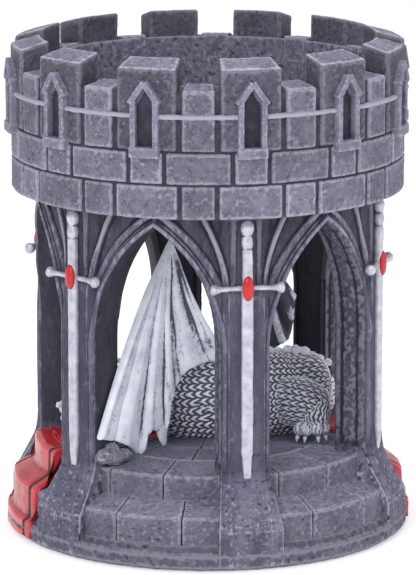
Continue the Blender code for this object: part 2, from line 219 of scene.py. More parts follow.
def make(name, shape, mat, replaces=(), rounds=8):
    """One finished piece: mesh, relief and tone, material, and its place under the root body."""
    verts = np.concatenate(shape.verts)
    loops = np.concatenate([block.ravel() for block in shape.faces])
    sizes = np.concatenate([np.full(len(block), block.shape[1]) for block in shape.faces])
    starts = np.concatenate([[0], np.cumsum(sizes)[:-1]])
    mesh = bpy.data.meshes.new(name)
    mesh.vertices.add(len(verts))
    mesh.vertices.foreach_set("co", verts.astype(np.float32).ravel())
    mesh.loops.add(len(loops))
    mesh.loops.foreach_set("vertex_index", loops.astype(np.int32))
    mesh.polygons.add(len(sizes))
    mesh.polygons.foreach_set("loop_start", starts.astype(np.int32))
    mesh.update(calc_edges=True)
    mesh.validate()
    mesh.shade_smooth()
    store_relief(mesh, rounds)
    store(mesh, "tone", np.concatenate(shape.tones))
    mesh.materials.append(mat)
    obj = bpy.data.objects.new(name, mesh)
    bpy.context.scene.collection.objects.link(obj)
    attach(obj, "root")
    if replaces:
        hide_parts(*replaces)
    return obj


def rounded_axis(half, radius, pitch):
    """Grid lines from -half to half, closer together where the corner rounds."""
    radius = min(radius, 0.45 * half)
    corner = radius * (1.0 - np.cos(np.linspace(0.0, 0.5 * math.pi, 4)))
    steps = max(2, int(round(2.0 * (half - radius) / pitch)))
    middle = np.linspace(-half + radius, half - radius, steps + 1)
    return np.concatenate([-half + corner[:-1], middle, half - corner[:-1][::-1]])


def box_lattice(xs, ys, zs):
    """The surface of a box lattice: points and outward quads."""
    counts = (len(xs), len(ys), len(zs))
    skin = np.zeros(counts, bool)
    skin[[0, -1]] = True
    skin[:, [0, -1]] = True
    skin[:, :, [0, -1]] = True
    index = np.full(counts, -1)
    index[skin] = np.arange(skin.sum())
    x, y, z = np.meshgrid(xs, ys, zs, indexing="ij")
    quads = []
    for sheet, flip in ((index[:, :, 0], True), (index[:, :, -1], False), (index[:, 0], False),
                        (index[:, -1], True), (index[0], True), (index[-1], False)):
        corners = [sheet[:-1, :-1], sheet[1:, :-1], sheet[1:, 1:], sheet[:-1, 1:]]
        side = np.stack(corners, axis=-1).reshape(-1, 4)
        quads.append(side[:, ::-1] if flip else side)
    return stacked(x[skin], y[skin], z[skin]), quads


def rounded_box(half, radius, pitch):
    """Points, outward directions and quads of a rounded box with the given half sizes."""
    half = np.array(half, float)
    axes = [rounded_axis(h, radius, pitch) for h in half]
    points, quads = box_lattice(*axes)
    limit = np.maximum(half - radius, 0.0)
    core = np.clip(points, -limit, limit)
    out = unit(points - core)
    return core + out * radius, out, quads


# ---------------------------------------------------------------- materials
def srgb(*levels):
    return tuple((v / 12.92 if v <= 0.04045 else ((v + 0.055) / 1.055) ** 2.4) for v in levels) + (1.0,)


class Nodes:
    """Short helpers to wire a material's nodes."""

    def __init__(self, name):
        self.mat = bpy.data.materials.new(name)
        self.mat.use_nodes = True
        self.tree = self.mat.node_tree
        self.shader = self.tree.nodes["Principled BSDF"]
        self.place = self.new("ShaderNodeTexCoord").outputs["Object"]

    def new(self, kind, **settings):
        node = self.tree.nodes.new(kind)
        for key, value in settings.items():
            setattr(node, key, value)
        return node

    def link(self, source, target):
        self.tree.links.new(source, target)

    def feed(self, socket, value):
        if hasattr(value, "is_linked"):
            self.link(value, socket)
        else:
            socket.default_value = value

    def noise(self, size, detail=3.0, rough=0.55, distort=0.0, stretch=1.0):
        """Noise with features of the given size in metres, drawn out upwards by the stretch."""
        node = self.new("ShaderNodeTexNoise")
        node.inputs["Scale"].default_value = 1.0 / size
        node.inputs["Detail"].default_value = detail
        node.inputs["Roughness"].default_value = rough
        node.inputs["Distortion"].default_value = distort
        squeeze = self.new("ShaderNodeVectorMath", operation="MULTIPLY")
        self.link(self.place, squeeze.inputs[0])
        squeeze.inputs[1].default_value = (1.0, 1.0, 1.0 / stretch)
        self.link(squeeze.outputs["Vector"], node.inputs["Vector"])
        return node.outputs["Fac"]

    def rings(self, pitch, sway):
        """Fine rings round the tower's axis, from -1 to 1, swayed by another value."""
        axes = self.new("ShaderNodeSeparateXYZ")
        self.link(self.place, axes.inputs[0])
        squares = [self.math("POWER", axes.outputs[axis], 2.0) for axis in ("X", "Y")]
        turn = self.math("MULTIPLY", self.math("SQRT", self.math("ADD", *squares)), TURN / pitch)
        return self.math("SINE", self.math("ADD", turn, self.math("MULTIPLY", sway, 9.0)))

    def attribute(self, name):
        return self.new("ShaderNodeAttribute", attribute_name=name).outputs["Fac"]

    def math(self, kind, a, b=0.0):
        node = self.new("ShaderNodeMath", operation=kind)
        self.feed(node.inputs[0], a)
        self.feed(node.inputs[1], b)
        return node.outputs[0]

    def centred(self, noise, weight):
        """A noise value measured from its middle, times a weight."""
        return self.math("MULTIPLY", self.math("SUBTRACT", noise, 0.5), weight)

    def total(self, first, *others):
        for value in others:
            first = self.math("ADD", first, value)
        return first

    def spread(self, value, low, high, to_low=0.0, to_high=1.0):
        node = self.new("ShaderNodeMapRange", interpolation_type="SMOOTHSTEP")
        self.feed(node.inputs["Value"], value)
        for key, level in (("From Min", low), ("From Max", high), ("To Min", to_low), ("To Max", to_high)):
            node.inputs[key].default_value = level
        return node.outputs["Result"]

    def mix(self, factor, a, b, blend="MIX"):
        node = self.new("ShaderNodeMix", data_type="RGBA", blend_type=blend)
        self.feed(node.inputs["Factor"], factor)
        self.feed(node.inputs["A"], a)
        self.feed(node.inputs["B"], b)
        return node.outputs["Result"]

    def bump(self, height, distance, strength=1.0, normal=None):
        node = self.new("ShaderNodeBump")
        node.inputs["Distance"].default_value = distance
        node.inputs["Strength"].default_value = strength
        self.feed(node.inputs["Height"], height)
        if normal is not None:
            self.link(normal, node.inputs["Normal"])
        return node.outputs["Normal"]

    def finish(self, colour, roughness, normal):
        for key, value in (("Base Color", colour), ("Roughness", roughness), ("Normal", normal)):
            self.link(value, self.shader.inputs[key])
        return self.mat


def stone(name, wash, base, light, pit_amount=0.75, brush=0.75, speckle=1.6, stretch=1.0):
    """Dark-washed, dry-brushed resin stone: dark in hollows and pits, light along edges and high spots."""
    n = Nodes(name)
    tone = n.attribute("tone")
    patches = n.noise(9.0 * MM, 3.0, 0.6, 0.0, stretch)
    spots = n.noise(3.2 * MM, 2.0, 0.5, 0.0, stretch)
    flecks = n.noise(1.25 * MM, 3.0, 0.65, 0.6, stretch)
    pits = n.noise(0.62 * MM, 2.0, 0.6, 0.8)
    grain = n.noise(0.35 * MM, 2.0, 0.6)
    colour = n.mix(n.spread(patches, 0.35, 0.72, 0.0, 0.30), base, light)
    pit_line = n.math("ABSOLUTE", n.math("SUBTRACT", pits, 0.5))
    pitted = n.spread(pit_line, 0.010, 0.060, pit_amount, 0.0)
    colour = n.mix(n.math("MULTIPLY", pitted, n.spread(spots, 0.42, 0.60)), colour, wash)
    scratches = n.math("MULTIPLY", n.rings(0.78 * MM, patches), n.attribute("tread"))
    scratches = n.math("MULTIPLY", scratches, n.spread(spots, 0.40, 0.58))
    brushed = n.total(n.attribute("relief"), n.centred(grain, 0.45), n.centred(flecks, speckle),
                      n.centred(spots, 0.60), n.math("MULTIPLY", scratches, 0.30))
    colour = n.mix(n.spread(brushed, 0.10, 0.65, 0.0, brush), colour, light)
    colour = n.mix(n.spread(brushed, -0.60, -0.10, 0.90, 0.0), colour, wash)
    # The tone sets brightness: blocks differ at random, and the low tones on the pillars' right jambs and
    # insides are painted shade.
    brightness = n.spread(tone, -1.5, 1.5, 0.45, 1.55)
    shade = n.new("ShaderNodeCombineColor")
    for channel in ("Red", "Green", "Blue"):
        n.link(brightness, shade.inputs[channel])
    colour = n.mix(1.0, colour, shade.outputs["Color"], "MULTIPLY")
    # Tones below -1.4, found only on the pillars' right jambs and insides, fade to near-black as painted
    # shade.
    colour = n.mix(n.spread(tone, -2.4, -1.4, 0.85, 0.0), colour, srgb(0.10, 0.10, 0.13))
    normal = None
    for height, distance, strength in ((flecks, 0.16, 0.45), (pits, 0.12, 0.40), (scratches, 0.05, 0.5),
                                       (grain, 0.07, 0.5)):
        normal = n.bump(height, distance * MM, strength, normal)
    n.shader.inputs["Specular IOR Level"].default_value = 0.30
    return n.finish(colour, n.spread(pits, 0.3, 0.7, 0.84, 0.62), normal)


def felt(name):
    n = Nodes(name)
    fuzz = n.noise(0.4 * MM, 3.0, 0.7)
    colour = n.mix(fuzz, srgb(0.06, 0.06, 0.065), srgb(0.13, 0.13, 0.14))
    return n.finish(colour, n.spread(fuzz, 0.3, 0.7, 0.9, 1.0), n.bump(fuzz, 0.2 * MM, 0.8))


def red_paint(name, base, light, dark, rough, coat):
    """Glossy red paint: darker in hollows, pinker on high spots, black along the line attribute."""
    n = Nodes(name)
    relief = n.attribute("relief")
    patches = n.noise(5.0 * MM, 4.0, 0.6)
    grain = n.noise(0.5 * MM, 3.0, 0.6)
    colour = n.mix(n.spread(patches, 0.35, 0.7, 0.0, 0.45), base, dark)
    colour = n.mix(n.spread(n.total(relief, n.centred(grain, 0.5)), 0.10, 0.7, 0.0, 0.65), colour, light)
    colour = n.mix(n.spread(relief, -0.8, -0.2, 0.45, 0.0), colour, dark)
    colour = n.mix(n.spread(n.attribute("line"), 0.05, 0.35), colour, srgb(0.11, 0.10, 0.12))
    n.shader.inputs["Coat Weight"].default_value = coat
    n.shader.inputs["Coat Roughness"].default_value = 0.12
    return n.finish(colour, n.spread(patches, 0.3, 0.7, rough, rough + 0.15), n.bump(grain, 0.07 * MM, 0.35))


def dragon_paint(name):
    """Bluish white paint over a black wash, which stays in hollows and in speckles where the tone is low; the
    far wing's far lower tone is painted shade.
    """
    n = Nodes(name)
    speckle = n.noise(0.75 * MM, 3.0, 0.65, 0.5)
    patches = n.noise(6.0 * MM, 3.0, 0.6)
    grain = n.noise(0.35 * MM, 2.0, 0.6)
    colour = n.mix(n.spread(patches, 0.3, 0.7), srgb(0.83, 0.845, 0.91), srgb(0.93, 0.94, 0.985))
    cover = n.total(n.math("MULTIPLY", n.attribute("relief"), 2.0), n.centred(speckle, 1.7),
                    n.math("MULTIPLY", n.attribute("tone"), 0.42), n.centred(patches, 0.5))
    colour = n.mix(n.spread(cover, -0.55, -0.10, 0.96, 0.0), colour, srgb(0.10, 0.10, 0.14))
    colour = n.mix(n.spread(cover, -0.15, 0.25, 0.40, 0.0), colour, srgb(0.42, 0.43, 0.52))
    normal = n.bump(grain, 0.06 * MM, 0.5, n.bump(speckle, 0.15 * MM, 0.5))
    n.shader.inputs["Specular IOR Level"].default_value = 0.35
    return n.finish(colour, n.spread(speckle, 0.3, 0.7, 0.72, 0.55), normal)


def silver_paint(name):
    n = Nodes(name)
    grain = n.noise(0.45 * MM, 3.0, 0.6)
    patches = n.noise(3.0 * MM, 3.0, 0.6)
    colour = n.mix(n.spread(patches, 0.3, 0.7), srgb(0.69, 0.69, 0.75), srgb(0.82, 0.82, 0.87))
    clean = n.total(n.attribute("relief"), n.centred(grain, 0.6))
    colour = n.mix(n.spread(clean, -0.55, -0.10, 0.85, 0.0), colour, srgb(0.20, 0.20, 0.24))
    n.shader.inputs["Metallic"].default_value = 0.35
    return n.finish(colour, n.spread(grain, 0.3, 0.7, 0.30, 0.50), n.bump(grain, 0.10 * MM, 0.45))


# Each stone has its wash, base and light colours.
parapet_stone = stone("parapet_stone", srgb(0.20, 0.195, 0.26), srgb(0.42, 0.415, 0.485),
                      srgb(0.64, 0.635, 0.705))
joint_stone = stone("joint_stone", srgb(0.17, 0.165, 0.225), srgb(0.21, 0.205, 0.265),
                    srgb(0.33, 0.325, 0.39), pit_amount=0.5, brush=0.5)
inner_stone = stone("inner_stone", srgb(0.24, 0.235, 0.29), srgb(0.44, 0.435, 0.505), srgb(0.63, 0.62, 0.69),
                    speckle=2.2)
pillar_stone = stone("pillar_stone", srgb(0.16, 0.155, 0.21), srgb(0.30, 0.295, 0.37), srgb(0.56, 0.55, 0.62),
                     pit_amount=0.6, brush=0.8, stretch=2.6)
step_stone = stone("step_stone", srgb(0.18, 0.175, 0.24), srgb(0.41, 0.405, 0.48), srgb(0.63, 0.62, 0.69),
                   pit_amount=0.6)
black_felt = felt("black_felt")
silver = silver_paint("silver_paint")
ruby = red_paint("ruby_enamel", srgb(0.80, 0.04, 0.11), srgb(0.88, 0.14, 0.20), srgb(0.52, 0.02, 0.05),
                 rough=0.25, coat=0.3)
carpet_red = red_paint("carpet_red", srgb(0.78, 0.05, 0.12), srgb(0.90, 0.26, 0.33), srgb(0.52, 0.02, 0.06),
                       rough=0.28, coat=0.35)
hide = dragon_paint("dragon_hide_paint")


# ---------------------------------------------------------------- stone blocks
def around(radius, angle, height):
    """Points at a radius and an angle round the tower's axis; angle 0 is the front pillar's."""
    return stacked(radius * np.sin(angle), -radius * np.cos(angle), height)


def draw_tone(low, high):
    return float(rng.uniform(low, high))


def block(shape, mid_angle, half_angle, inner, outer, low, high, seed, tone, rounding=0.55, pitch=0.5,
          rough=0.14, chip=0.35, top_slope=0.0, carve=None, top_light=0.0):
    """One rough-hewn block of a ring course, in metres; its top falls by top_slope per metre outward.

    rounding, pitch, rough and chip are in millimetres; top_light is the tone added to its top.
    """
    mid_radius = 0.5 * (inner + outer)
    half = (half_angle * mid_radius, 0.5 * (outer - inner), 0.5 * (high - low))
    points, out, quads = rounded_box(half, rounding * MM, pitch * MM)
    place = points + np.array([mid_angle * 0.3, seed * 0.011, seed * 0.017])
    swell = fbm(place, 6.0 * MM, 2, 11) * rough + fbm(place, 1.1 * MM, 3, 23) * rough * 0.7
    edge = np.sort(np.abs(out), axis=1)[:, 1]
    bite = np.clip(fbm(place, 2.4 * MM, 2, 37) - 0.15, 0.0, 1.0) * chip * smooth(0.2, 0.7, edge)
    points = points + out * ((swell - bite) * MM)[:, None]
    if carve is not None:
        points[:, 1] -= carve(points[:, 0], points[:, 2]) * smooth(0.4, 0.9, out[:, 1])
    slope = top_slope * (points[:, 2] + half[2]) / (2.0 * half[2])
    height = 0.5 * (low + high) + points[:, 2] - slope * points[:, 1]
    verts = around(mid_radius + points[:, 1], mid_angle + points[:, 0] / mid_radius, height)
    shape.add(verts, quads, tone + top_light * smooth(0.5, 0.9, out[:, 2]))


def sweep(profile, angles, push):
    """A (radius, height) profile at each angle round the axis, with its points pushed outward by push."""
    tangent = np.roll(profile, -1, axis=0) - np.roll(profile, 1, axis=0)
    normal = unit(stacked(tangent[:, 1], -tangent[:, 0]))
    push = np.broadcast_to(push, (len(angles), len(profile)))
    moved = profile[None] + normal[None] * push[..., None]
    return around(moved[..., 0], angles[:, None], moved[..., 1])


def turned_ring(shape, profile, steps, rough, size, seed, tone=0.0, start=0.0, end=TURN):
    """A closed (radius, height) profile, run anticlockwise, swept round the axis with a rough skin."""
    full = abs(end - start - TURN) < 1e-9
    angles = np.linspace(start, end, steps, endpoint=not full)
    grid = sweep(profile, angles, fbm(sweep(profile, angles, 0.0), size, 3, seed) * rough)
    if full:
        shape.add(grid, [grid_faces(*grid.shape[:2], True, True)], tone)
    else:
        shape.add_tube(grid, tone)


def dense(points, pitch, closed=True):
    """A polyline with extra points about pitch apart."""
    points = [np.array(p, float) for p in points]
    result = []
    for a, b in zip(points, points[1:] + points[:1] if closed else points[1:]):
        steps = max(1, int(round(np.linalg.norm(b - a) / pitch)))
        result += [a + (b - a) * k / steps for k in range(steps)]
    return np.array(result if closed else result + points[-1:])


# Lengths here and below are in drum radii, unless R or MM has already turned them into metres.
DRUM_IN = 0.84 * R
SKIN_ROOM = 0.20 * MM
COURSES = ((1.761, 1.933, 0.0), (1.933, 2.095, 0.5), (2.095, 2.272, 0.0))
TOP_COURSE = 2
WIDE = math.radians(9.05)
NARROW = math.radians(4.65)
MERLON_HALF = math.radians(8.75)
JOINT = 0.010
NICHE_SILL = 2.112
NICHE_SPRING = 2.33
NICHE_APEX = 2.412
NICHE_HALF = 0.046
NICHE_DEPTH = 0.020


def lancet(middle):
    """The niche's depth at places in metres on a block's face; middle is the block's middle height."""
    def depth(x, z):
        height = z / R + middle
        half = NICHE_HALF * np.clip((NICHE_APEX - height) / (NICHE_APEX - NICHE_SPRING), 0.0, 1.0)
        inside = smooth(0.0, 0.007, half - np.abs(x) / R) * smooth(NICHE_SILL - 0.01, NICHE_SILL, height)
        return NICHE_DEPTH * R * inside
    return depth


def build_drum():
    core = Shape()
    profile = np.array([(0.93, 1.766), (0.984, 1.766), (0.984, 2.385), (0.93, 2.385)]) * R
    turned_ring(core, dense(profile, 1.5 * MM), 300, 0.20 * MM, 3.0 * MM, 3)
    make("drum_joints", core, joint_stone, ("parapet_wall",), rounds=3)
    lining = Shape()
    profile = np.array([(0.84, 1.762), (0.93, 1.762), (0.93, 2.38), (0.84, 2.400)]) * R
    turned_ring(lining, dense(profile, 0.65 * MM), 560, 0.24 * MM, 1.7 * MM, 9)
    make("drum_lining", lining, inner_stone, rounds=4)
    seed = 0
    for number, (low, high, shift) in enumerate(COURSES):
        top_course = number == TOP_COURSE
        course = Shape()
        for k in range(MERLONS):
            for half, offset in ((WIDE, 0.0), (NARROW, 0.5)):
                seed += 1
                if top_course and half == WIDE:
                    continue
                tone = draw_tone(-0.30, 0.30) - (0.35 if top_course else 0.0)
                block(course, (k + shift + offset) * BLOCK_TURN, half, 0.95 * R, R - SKIN_ROOM,
                      (low + 0.5 * JOINT) * R, (high - 0.5 * JOINT) * R, seed, tone, pitch=0.55, rough=0.13)
        make(f"drum_course_{number + 1}", course, parapet_stone)
    caps = Shape()
    for k in range(MERLONS):
        seed += 1
        block(caps, (k + 0.5) * BLOCK_TURN, NARROW, DRUM_IN, R - SKIN_ROOM, 2.274 * R, 2.404 * R, seed,
              draw_tone(-0.30, 0.30), rounding=0.7, pitch=0.6, top_slope=0.13, top_light=0.9)
    make("crenel_blocks", caps, parapet_stone)


def build_merlons():
    """Each merlon, in one block with the wide stone under it, which carries the niche."""
    low, high = 2.100, 2.520
    for k in range(MERLONS):
        merlon = Shape()
        block(merlon, k * BLOCK_TURN, MERLON_HALF, DRUM_IN + 0.5 * MM, R - 0.15 * MM, low * R, high * R,
              100 + k, draw_tone(-1.05, -0.70), rounding=0.8, pitch=0.45, rough=0.15, chip=0.4,
              top_slope=0.27, carve=lancet(0.5 * (low + high)), top_light=2.15)
        make(f"merlon_block_{k + 1:02d}", merlon, parapet_stone, (f"merlon_{k + 1:02d}",))


def build_string_course():
    """The thin roll under the crenels, broken at each niche."""
    shape = Shape()
    turn = np.linspace(0.0, TURN, 14, endpoint=False)
    profile = stacked(0.998 * R + 0.017 * R * np.cos(turn), 2.270 * R + 0.0125 * R * np.sin(turn))
    stop = math.radians(3.9)
    for k in range(MERLONS):
        turned_ring(shape, profile, 90, 0.26 * MM, 1.8 * MM, 51, 0.45, k * BLOCK_TURN + stop,
                    (k + 1) * BLOCK_TURN - stop)
    make("string_course", shape, parapet_stone, rounds=5)


def strip(shape, centre, sizes, angle, seed, turn=0.0, rounding=0.35):
    """A rounded bar of a niche frame: centre (across, outward, up) and half sizes in radii, and its lean."""
    points, out, quads = rounded_box(np.array(sizes) * R, rounding * MM, 0.45 * MM)
    points = points + out * (fbm(points + seed * 0.013, 1.5 * MM, 3, 61) * 0.07 * MM)[:, None]
    across = points[:, 0] * math.cos(turn) - points[:, 2] * math.sin(turn) + centre[0] * R
    height = points[:, 0] * math.sin(turn) + points[:, 2] * math.cos(turn) + centre[2] * R
    outward = points[:, 1] + centre[1] * R
    verts = stacked(outward * math.sin(angle) + across * math.cos(angle),
                    -outward * math.cos(angle) + across * math.sin(angle), height)
    shape.add(verts, quads, 0.5)


def build_niche_frames():
    """A sill, two jambs and two gable bars round each niche."""
    slope = math.atan2(0.110, 0.076)
    for k in range(MERLONS):
        shape = Shape()
        angle = k * BLOCK_TURN
        strip(shape, (0.0, 1.010, 2.094), (0.0745, 0.026, 0.027), angle, k, rounding=0.5)
        for side in (-1.0, 1.0):
            strip(shape, (side * 0.0570, 1.008, 2.2295), (0.0140, 0.020, 0.1155), angle, 20 + k)
            strip(shape, (side * 0.0360, 1.013, 2.385), (0.0640, 0.022, 0.0150), angle, 40 + k, -side * slope)
        make(f"niche_frame_piece_{k + 1:02d}", shape, parapet_stone,
             (f"niche_frame_{k + 1:02d}",), rounds=5)


# ---------------------------------------------------------------- pillars and arches
PILLAR_RIB = 0.86
PILLAR_HALF = 0.118
INNER_R = 0.72
SPRING = 1.08
APEX = 1.70
RING_UNDERSIDE = 1.757
BAY_HALF_ARC = 0.5 * BAY * PILLAR_RIB
OPEN_HALF = BAY_HALF_ARC - PILLAR_HALF
ARCH_RADIUS = (OPEN_HALF ** 2 + (APEX - SPRING) ** 2) / (2.0 * OPEN_HALF)
FACE_COLS = 141
SIDE_COLS = 22
INNER_COLS = 33


def opening_half(z):
    rise = np.clip(z - SPRING, 0.0, None)
    curve = np.sqrt(np.clip(ARCH_RADIUS ** 2 - rise ** 2, 0.0, None)) - (ARCH_RADIUS - OPEN_HALF)
    return np.clip(curve, 0.0, None)


def opening_distance(arc, z):
    """Distance from the arch opening's edge, for a place arc from the pillar's middle, in radii."""
    across = BAY_HALF_ARC - np.abs(arc)
    straight = across - OPEN_HALF
    curved = np.hypot(across + ARCH_RADIUS - OPEN_HALF, z - SPRING) - ARCH_RADIUS
    return np.where(z < SPRING, straight, curved)


def fan_line(z):
    """How far the fan rib stands from the pillar's middle, and its slope."""
    t = np.clip((z - 1.40) / 0.361, 0.0, 1.0)
    return 0.098 + 0.118 * t ** 1.7, 0.118 * 1.7 * t ** 0.7 / 0.361


def pillar_relief(arc, z):
    """Mouldings on the outer face: arch rolls, a fan rib, fine uprights and the sunk panels between them."""
    side = np.abs(arc)
    edge = np.clip(opening_distance(arc, z), 0.0, None)
    above = smooth(1.34, 1.46, z)
    shaft = smooth(0.44, 0.58, z)
    relief = 0.014 * bump(edge - 0.011, 0.012) * shaft
    relief += 0.017 * bump(edge - 0.056, 0.023) * above
    fan, slope = fan_line(z)
    relief += 0.017 * bump((side - fan) / np.sqrt(1.0 + slope ** 2), 0.016) * above
    relief += 0.005 * bump(side - 0.064, 0.014) * above
    relief -= 0.022 * above * smooth(0.030, 0.040, edge)
    relief -= 0.005 * smooth(0.028, 0.040, edge) * (1.0 - above) * shaft
    return relief


def pillar_brush(arc, z):
    """Where a dry brush catches the outer face: rib crests and the shaft's edges light, panels dark."""
    edge = np.clip(opening_distance(arc, z), 0.0, None)
    above = smooth(1.34, 1.46, z)
    crest = np.maximum(bump(edge - 0.011, 0.009) * smooth(0.44, 0.58, z), bump(edge - 0.056, 0.017) * above)
    crest = np.maximum(crest, bump(np.abs(arc) - fan_line(z)[0], 0.015) * above)
    panel = above * smooth(0.030, 0.040, edge) * (1.0 - crest)
    return 0.85 * smooth(0.35, 0.95, crest) - 0.45 * panel


def pillar_width(z):
    """Half width of the outer face as arc, in radii."""
    foot = np.interp(z, [0.0, 0.215, 0.432, 0.50], [0.136, 0.135, 0.121, PILLAR_HALF])
    arch = BAY_HALF_ARC - opening_half(z)
    return np.where(z < 0.5, foot, np.maximum(arch, PILLAR_HALF))


def pillar_section(heights):
    """The pillar's outline at each height: radii and angles, places on its face, and the left jamb's ribs.

    The outline runs along the outer face, in along the right jamb, back along the inside, and out again.
    """
    z = heights[:, None]
    even = np.linspace(-1.0, 1.0, FACE_COLS)
    columns = 0.3 * np.sin(0.5 * math.pi * even) + 0.7 * even
    width = pillar_width(heights)
    arc = width[:, None] * columns[None]
    phi = arc / PILLAR_RIB
    flat_share = smooth(1.46, 1.30, z)
    chamfer = np.interp(np.abs(arc), [0.0, 0.085, 0.118, 1.0], [0.0, 0.0, 0.034, 0.034])
    upper = 0.905 - 0.035 * smooth(0.05, 0.14, np.abs(arc))
    radius = flat_share * (0.90 / np.cos(phi) - chamfer) + (1.0 - flat_share) * upper
    foot = np.interp(z, [0.0, 0.06, 0.20, 0.225, 0.25, 0.38, 0.43, 0.48, 0.56],
                     [0.118, 0.122, 0.120, 0.114, 0.102, 0.034, 0.014, 0.005, 0.0])
    flare = 1.0 + 0.25 * smooth(0.5, 1.0, np.abs(columns))[None] * smooth(0.5, 0.4, z)
    radius = radius + foot * np.cos(phi) * flare + pillar_relief(arc, z)
    radius = np.minimum(radius, 1.029)

    edge_phi = width / PILLAR_RIB
    start_in = math.asin(PILLAR_HALF / INNER_R)
    start_out = PILLAR_HALF / PILLAR_RIB
    share = np.clip((edge_phi - start_out) / (0.5 * BAY - start_out), 0.0, 1.0)
    wide_foot = np.clip(width - PILLAR_HALF, 0.0, 0.02) * (heights < 0.5)
    phi_in = start_in + share * (0.5 * BAY - start_in) + wide_foot / INNER_R
    steps = np.linspace(0.0, 1.0, SIDE_COLS + 2)[1:-1]
    side_r = radius[:, -1:] + (INNER_R - radius[:, -1:]) * steps[None]
    side_phi = edge_phi[:, None] + (phi_in - edge_phi)[:, None] * steps[None]
    ribs = 0.007 * bump(steps - 0.14, 0.12) + 0.010 * bump(steps - 0.50, 0.22)
    ribs = ribs + 0.006 * bump(steps - 0.88, 0.10)
    above_foot = smooth(0.46, 0.56, z)
    left_phi = side_phi + ribs[None] / 0.8 * above_foot * smooth(1.0, 0.9, share)[:, None]
    lane = np.linspace(1.0, -1.0, INNER_COLS)[None]
    inner_phi = phi_in[:, None] * lane
    inner_r = np.where(share[:, None] > 0.02, 0.722, INNER_R / np.cos(inner_phi))
    groove = 0.012 * bump(np.abs(lane) - 0.86, 0.10) * above_foot
    inner_r = inner_r - groove * smooth(0.5, 0.2, share)[:, None]
    loop_r = np.concatenate([radius, side_r, inner_r, side_r[:, ::-1]], axis=1)
    loop_phi = np.concatenate([phi, side_phi, inner_phi, -left_phi[:, ::-1]], axis=1)
    return loop_r, loop_phi, arc, ribs


def pillar_tone(z, arc, ribs):
    """Tone over the pillar's outline: brushed face, streaky left jamb, and painted shade that makes the right
    jamb and inside near-black.
    """
    front = np.concatenate([np.ones(FACE_COLS), np.linspace(0.25, 0.0, SIDE_COLS), np.zeros(INNER_COLS),
                            np.ones(SIDE_COLS)])[None]
    brushing = np.zeros((len(z), front.shape[1]))
    brushing[:, :FACE_COLS] = pillar_brush(arc, z)
    brushing[:, -SIDE_COLS:] = 20.0 * ribs[::-1] - 0.50
    shaft = smooth(0.44, 0.52, z)
    footing = smooth(0.50, 0.38, z)
    # Where front is low, on the right jamb and the inside, the tone falls to near-black: painted shade.
    tone = -0.20 * front - 1.9 * (1.0 - front) * shaft + brushing * shaft
    return tone + front * (0.75 * footing + 1.05 * footing * smooth(0.20, 0.26, z))


def build_pillar(k):
    heights = np.concatenate([np.linspace(0.022, 0.20, 26), np.linspace(0.208, 0.45, 38),
                              np.linspace(0.458, 1.36, 90), np.linspace(1.368, RING_UNDERSIDE, 60)])
    z = heights[:, None]
    loop_r, loop_phi, arc, ribs = pillar_section(heights)
    grid = around(loop_r, loop_phi + k * BAY, z) * R
    tangent = np.roll(grid, -1, axis=1) - np.roll(grid, 1, axis=1)
    normal = unit(np.cross(tangent, np.gradient(grid, axis=0)))
    streaky = fbm(grid * np.array([1.0, 1.0, 0.25]), 2.2 * MM, 3, 71 + k)
    skin = streaky * 0.10 + fbm(grid, 8.0 * MM, 2, 77) * 0.10
    jamb = np.zeros((1, grid.shape[1]))
    jamb[:, -SIDE_COLS:] = 0.22
    skin = skin + np.maximum(smooth(0.50, 0.38, z) * 0.20, jamb) * fbm(grid, 1.6 * MM, 3, 79 + k)
    seam = smooth(0.0, 0.02, 0.5 * BAY - np.abs(loop_phi))
    grid = grid + normal * (skin * seam * MM)[..., None]
    shape = Shape()
    shape.add_tube(grid, np.concatenate([pillar_tone(z, arc, ribs).ravel(), [0.0, -1.0]]))
    nodes = [f"pillar_{k + 1}"] + (["arcade_arches"] if k == 0 else [])
    make(f"arcade_pillar_{k + 1}", shape, pillar_stone, nodes, rounds=7)


# ---------------------------------------------------------------- base
STEP_BLOCKS = 18
STEP_TURN = TURN / STEP_BLOCKS


def mark_treads(obj):
    """Stores where a piece faces up, which is where the treads' ring scratches show."""
    upward = read_vectors(obj.data.vertex_normals, "vector")[:, 2]
    store(obj.data, "tread", smooth(0.80, 0.90, upward))


def build_base():
    lip = Shape()
    profile = np.array([(0.975, 0.004), (1.000, 0.004), (1.024, 0.022), (1.028, 0.080), (1.018, 0.096),
                        (0.985, 0.126), (0.975, 0.128)]) * R
    turned_ring(lip, dense(profile, 0.5 * MM), 800, 0.22 * MM, 2.2 * MM, 5, tone=-0.55)
    make("plinth_lip", lip, step_stone, ("base_plinth",), rounds=6)
    lower = Shape()
    for k in range(STEP_BLOCKS):
        block(lower, (k + 0.5) * STEP_TURN, math.radians(9.86), 0.80 * R, 0.982 * R, 0.118 * R, 0.298 * R,
              201 + k, draw_tone(-0.35, -0.08), top_slope=0.40, top_light=0.9)
    mark_treads(make("lower_step_blocks", lower, step_stone, ("lower_step",)))
    upper = Shape()
    for k in range(STEP_BLOCKS):
        block(upper, (k + 0.12) * STEP_TURN, math.radians(9.84), 0.590 * R, 0.848 * R, 0.31 * R, 0.452 * R,
              219 + k, draw_tone(-0.50, -0.20), top_slope=0.075, top_light=0.80)
    mark_treads(make("floor_edge_blocks", upper, step_stone, ("upper_floor",)))
    build_floor_slabs()


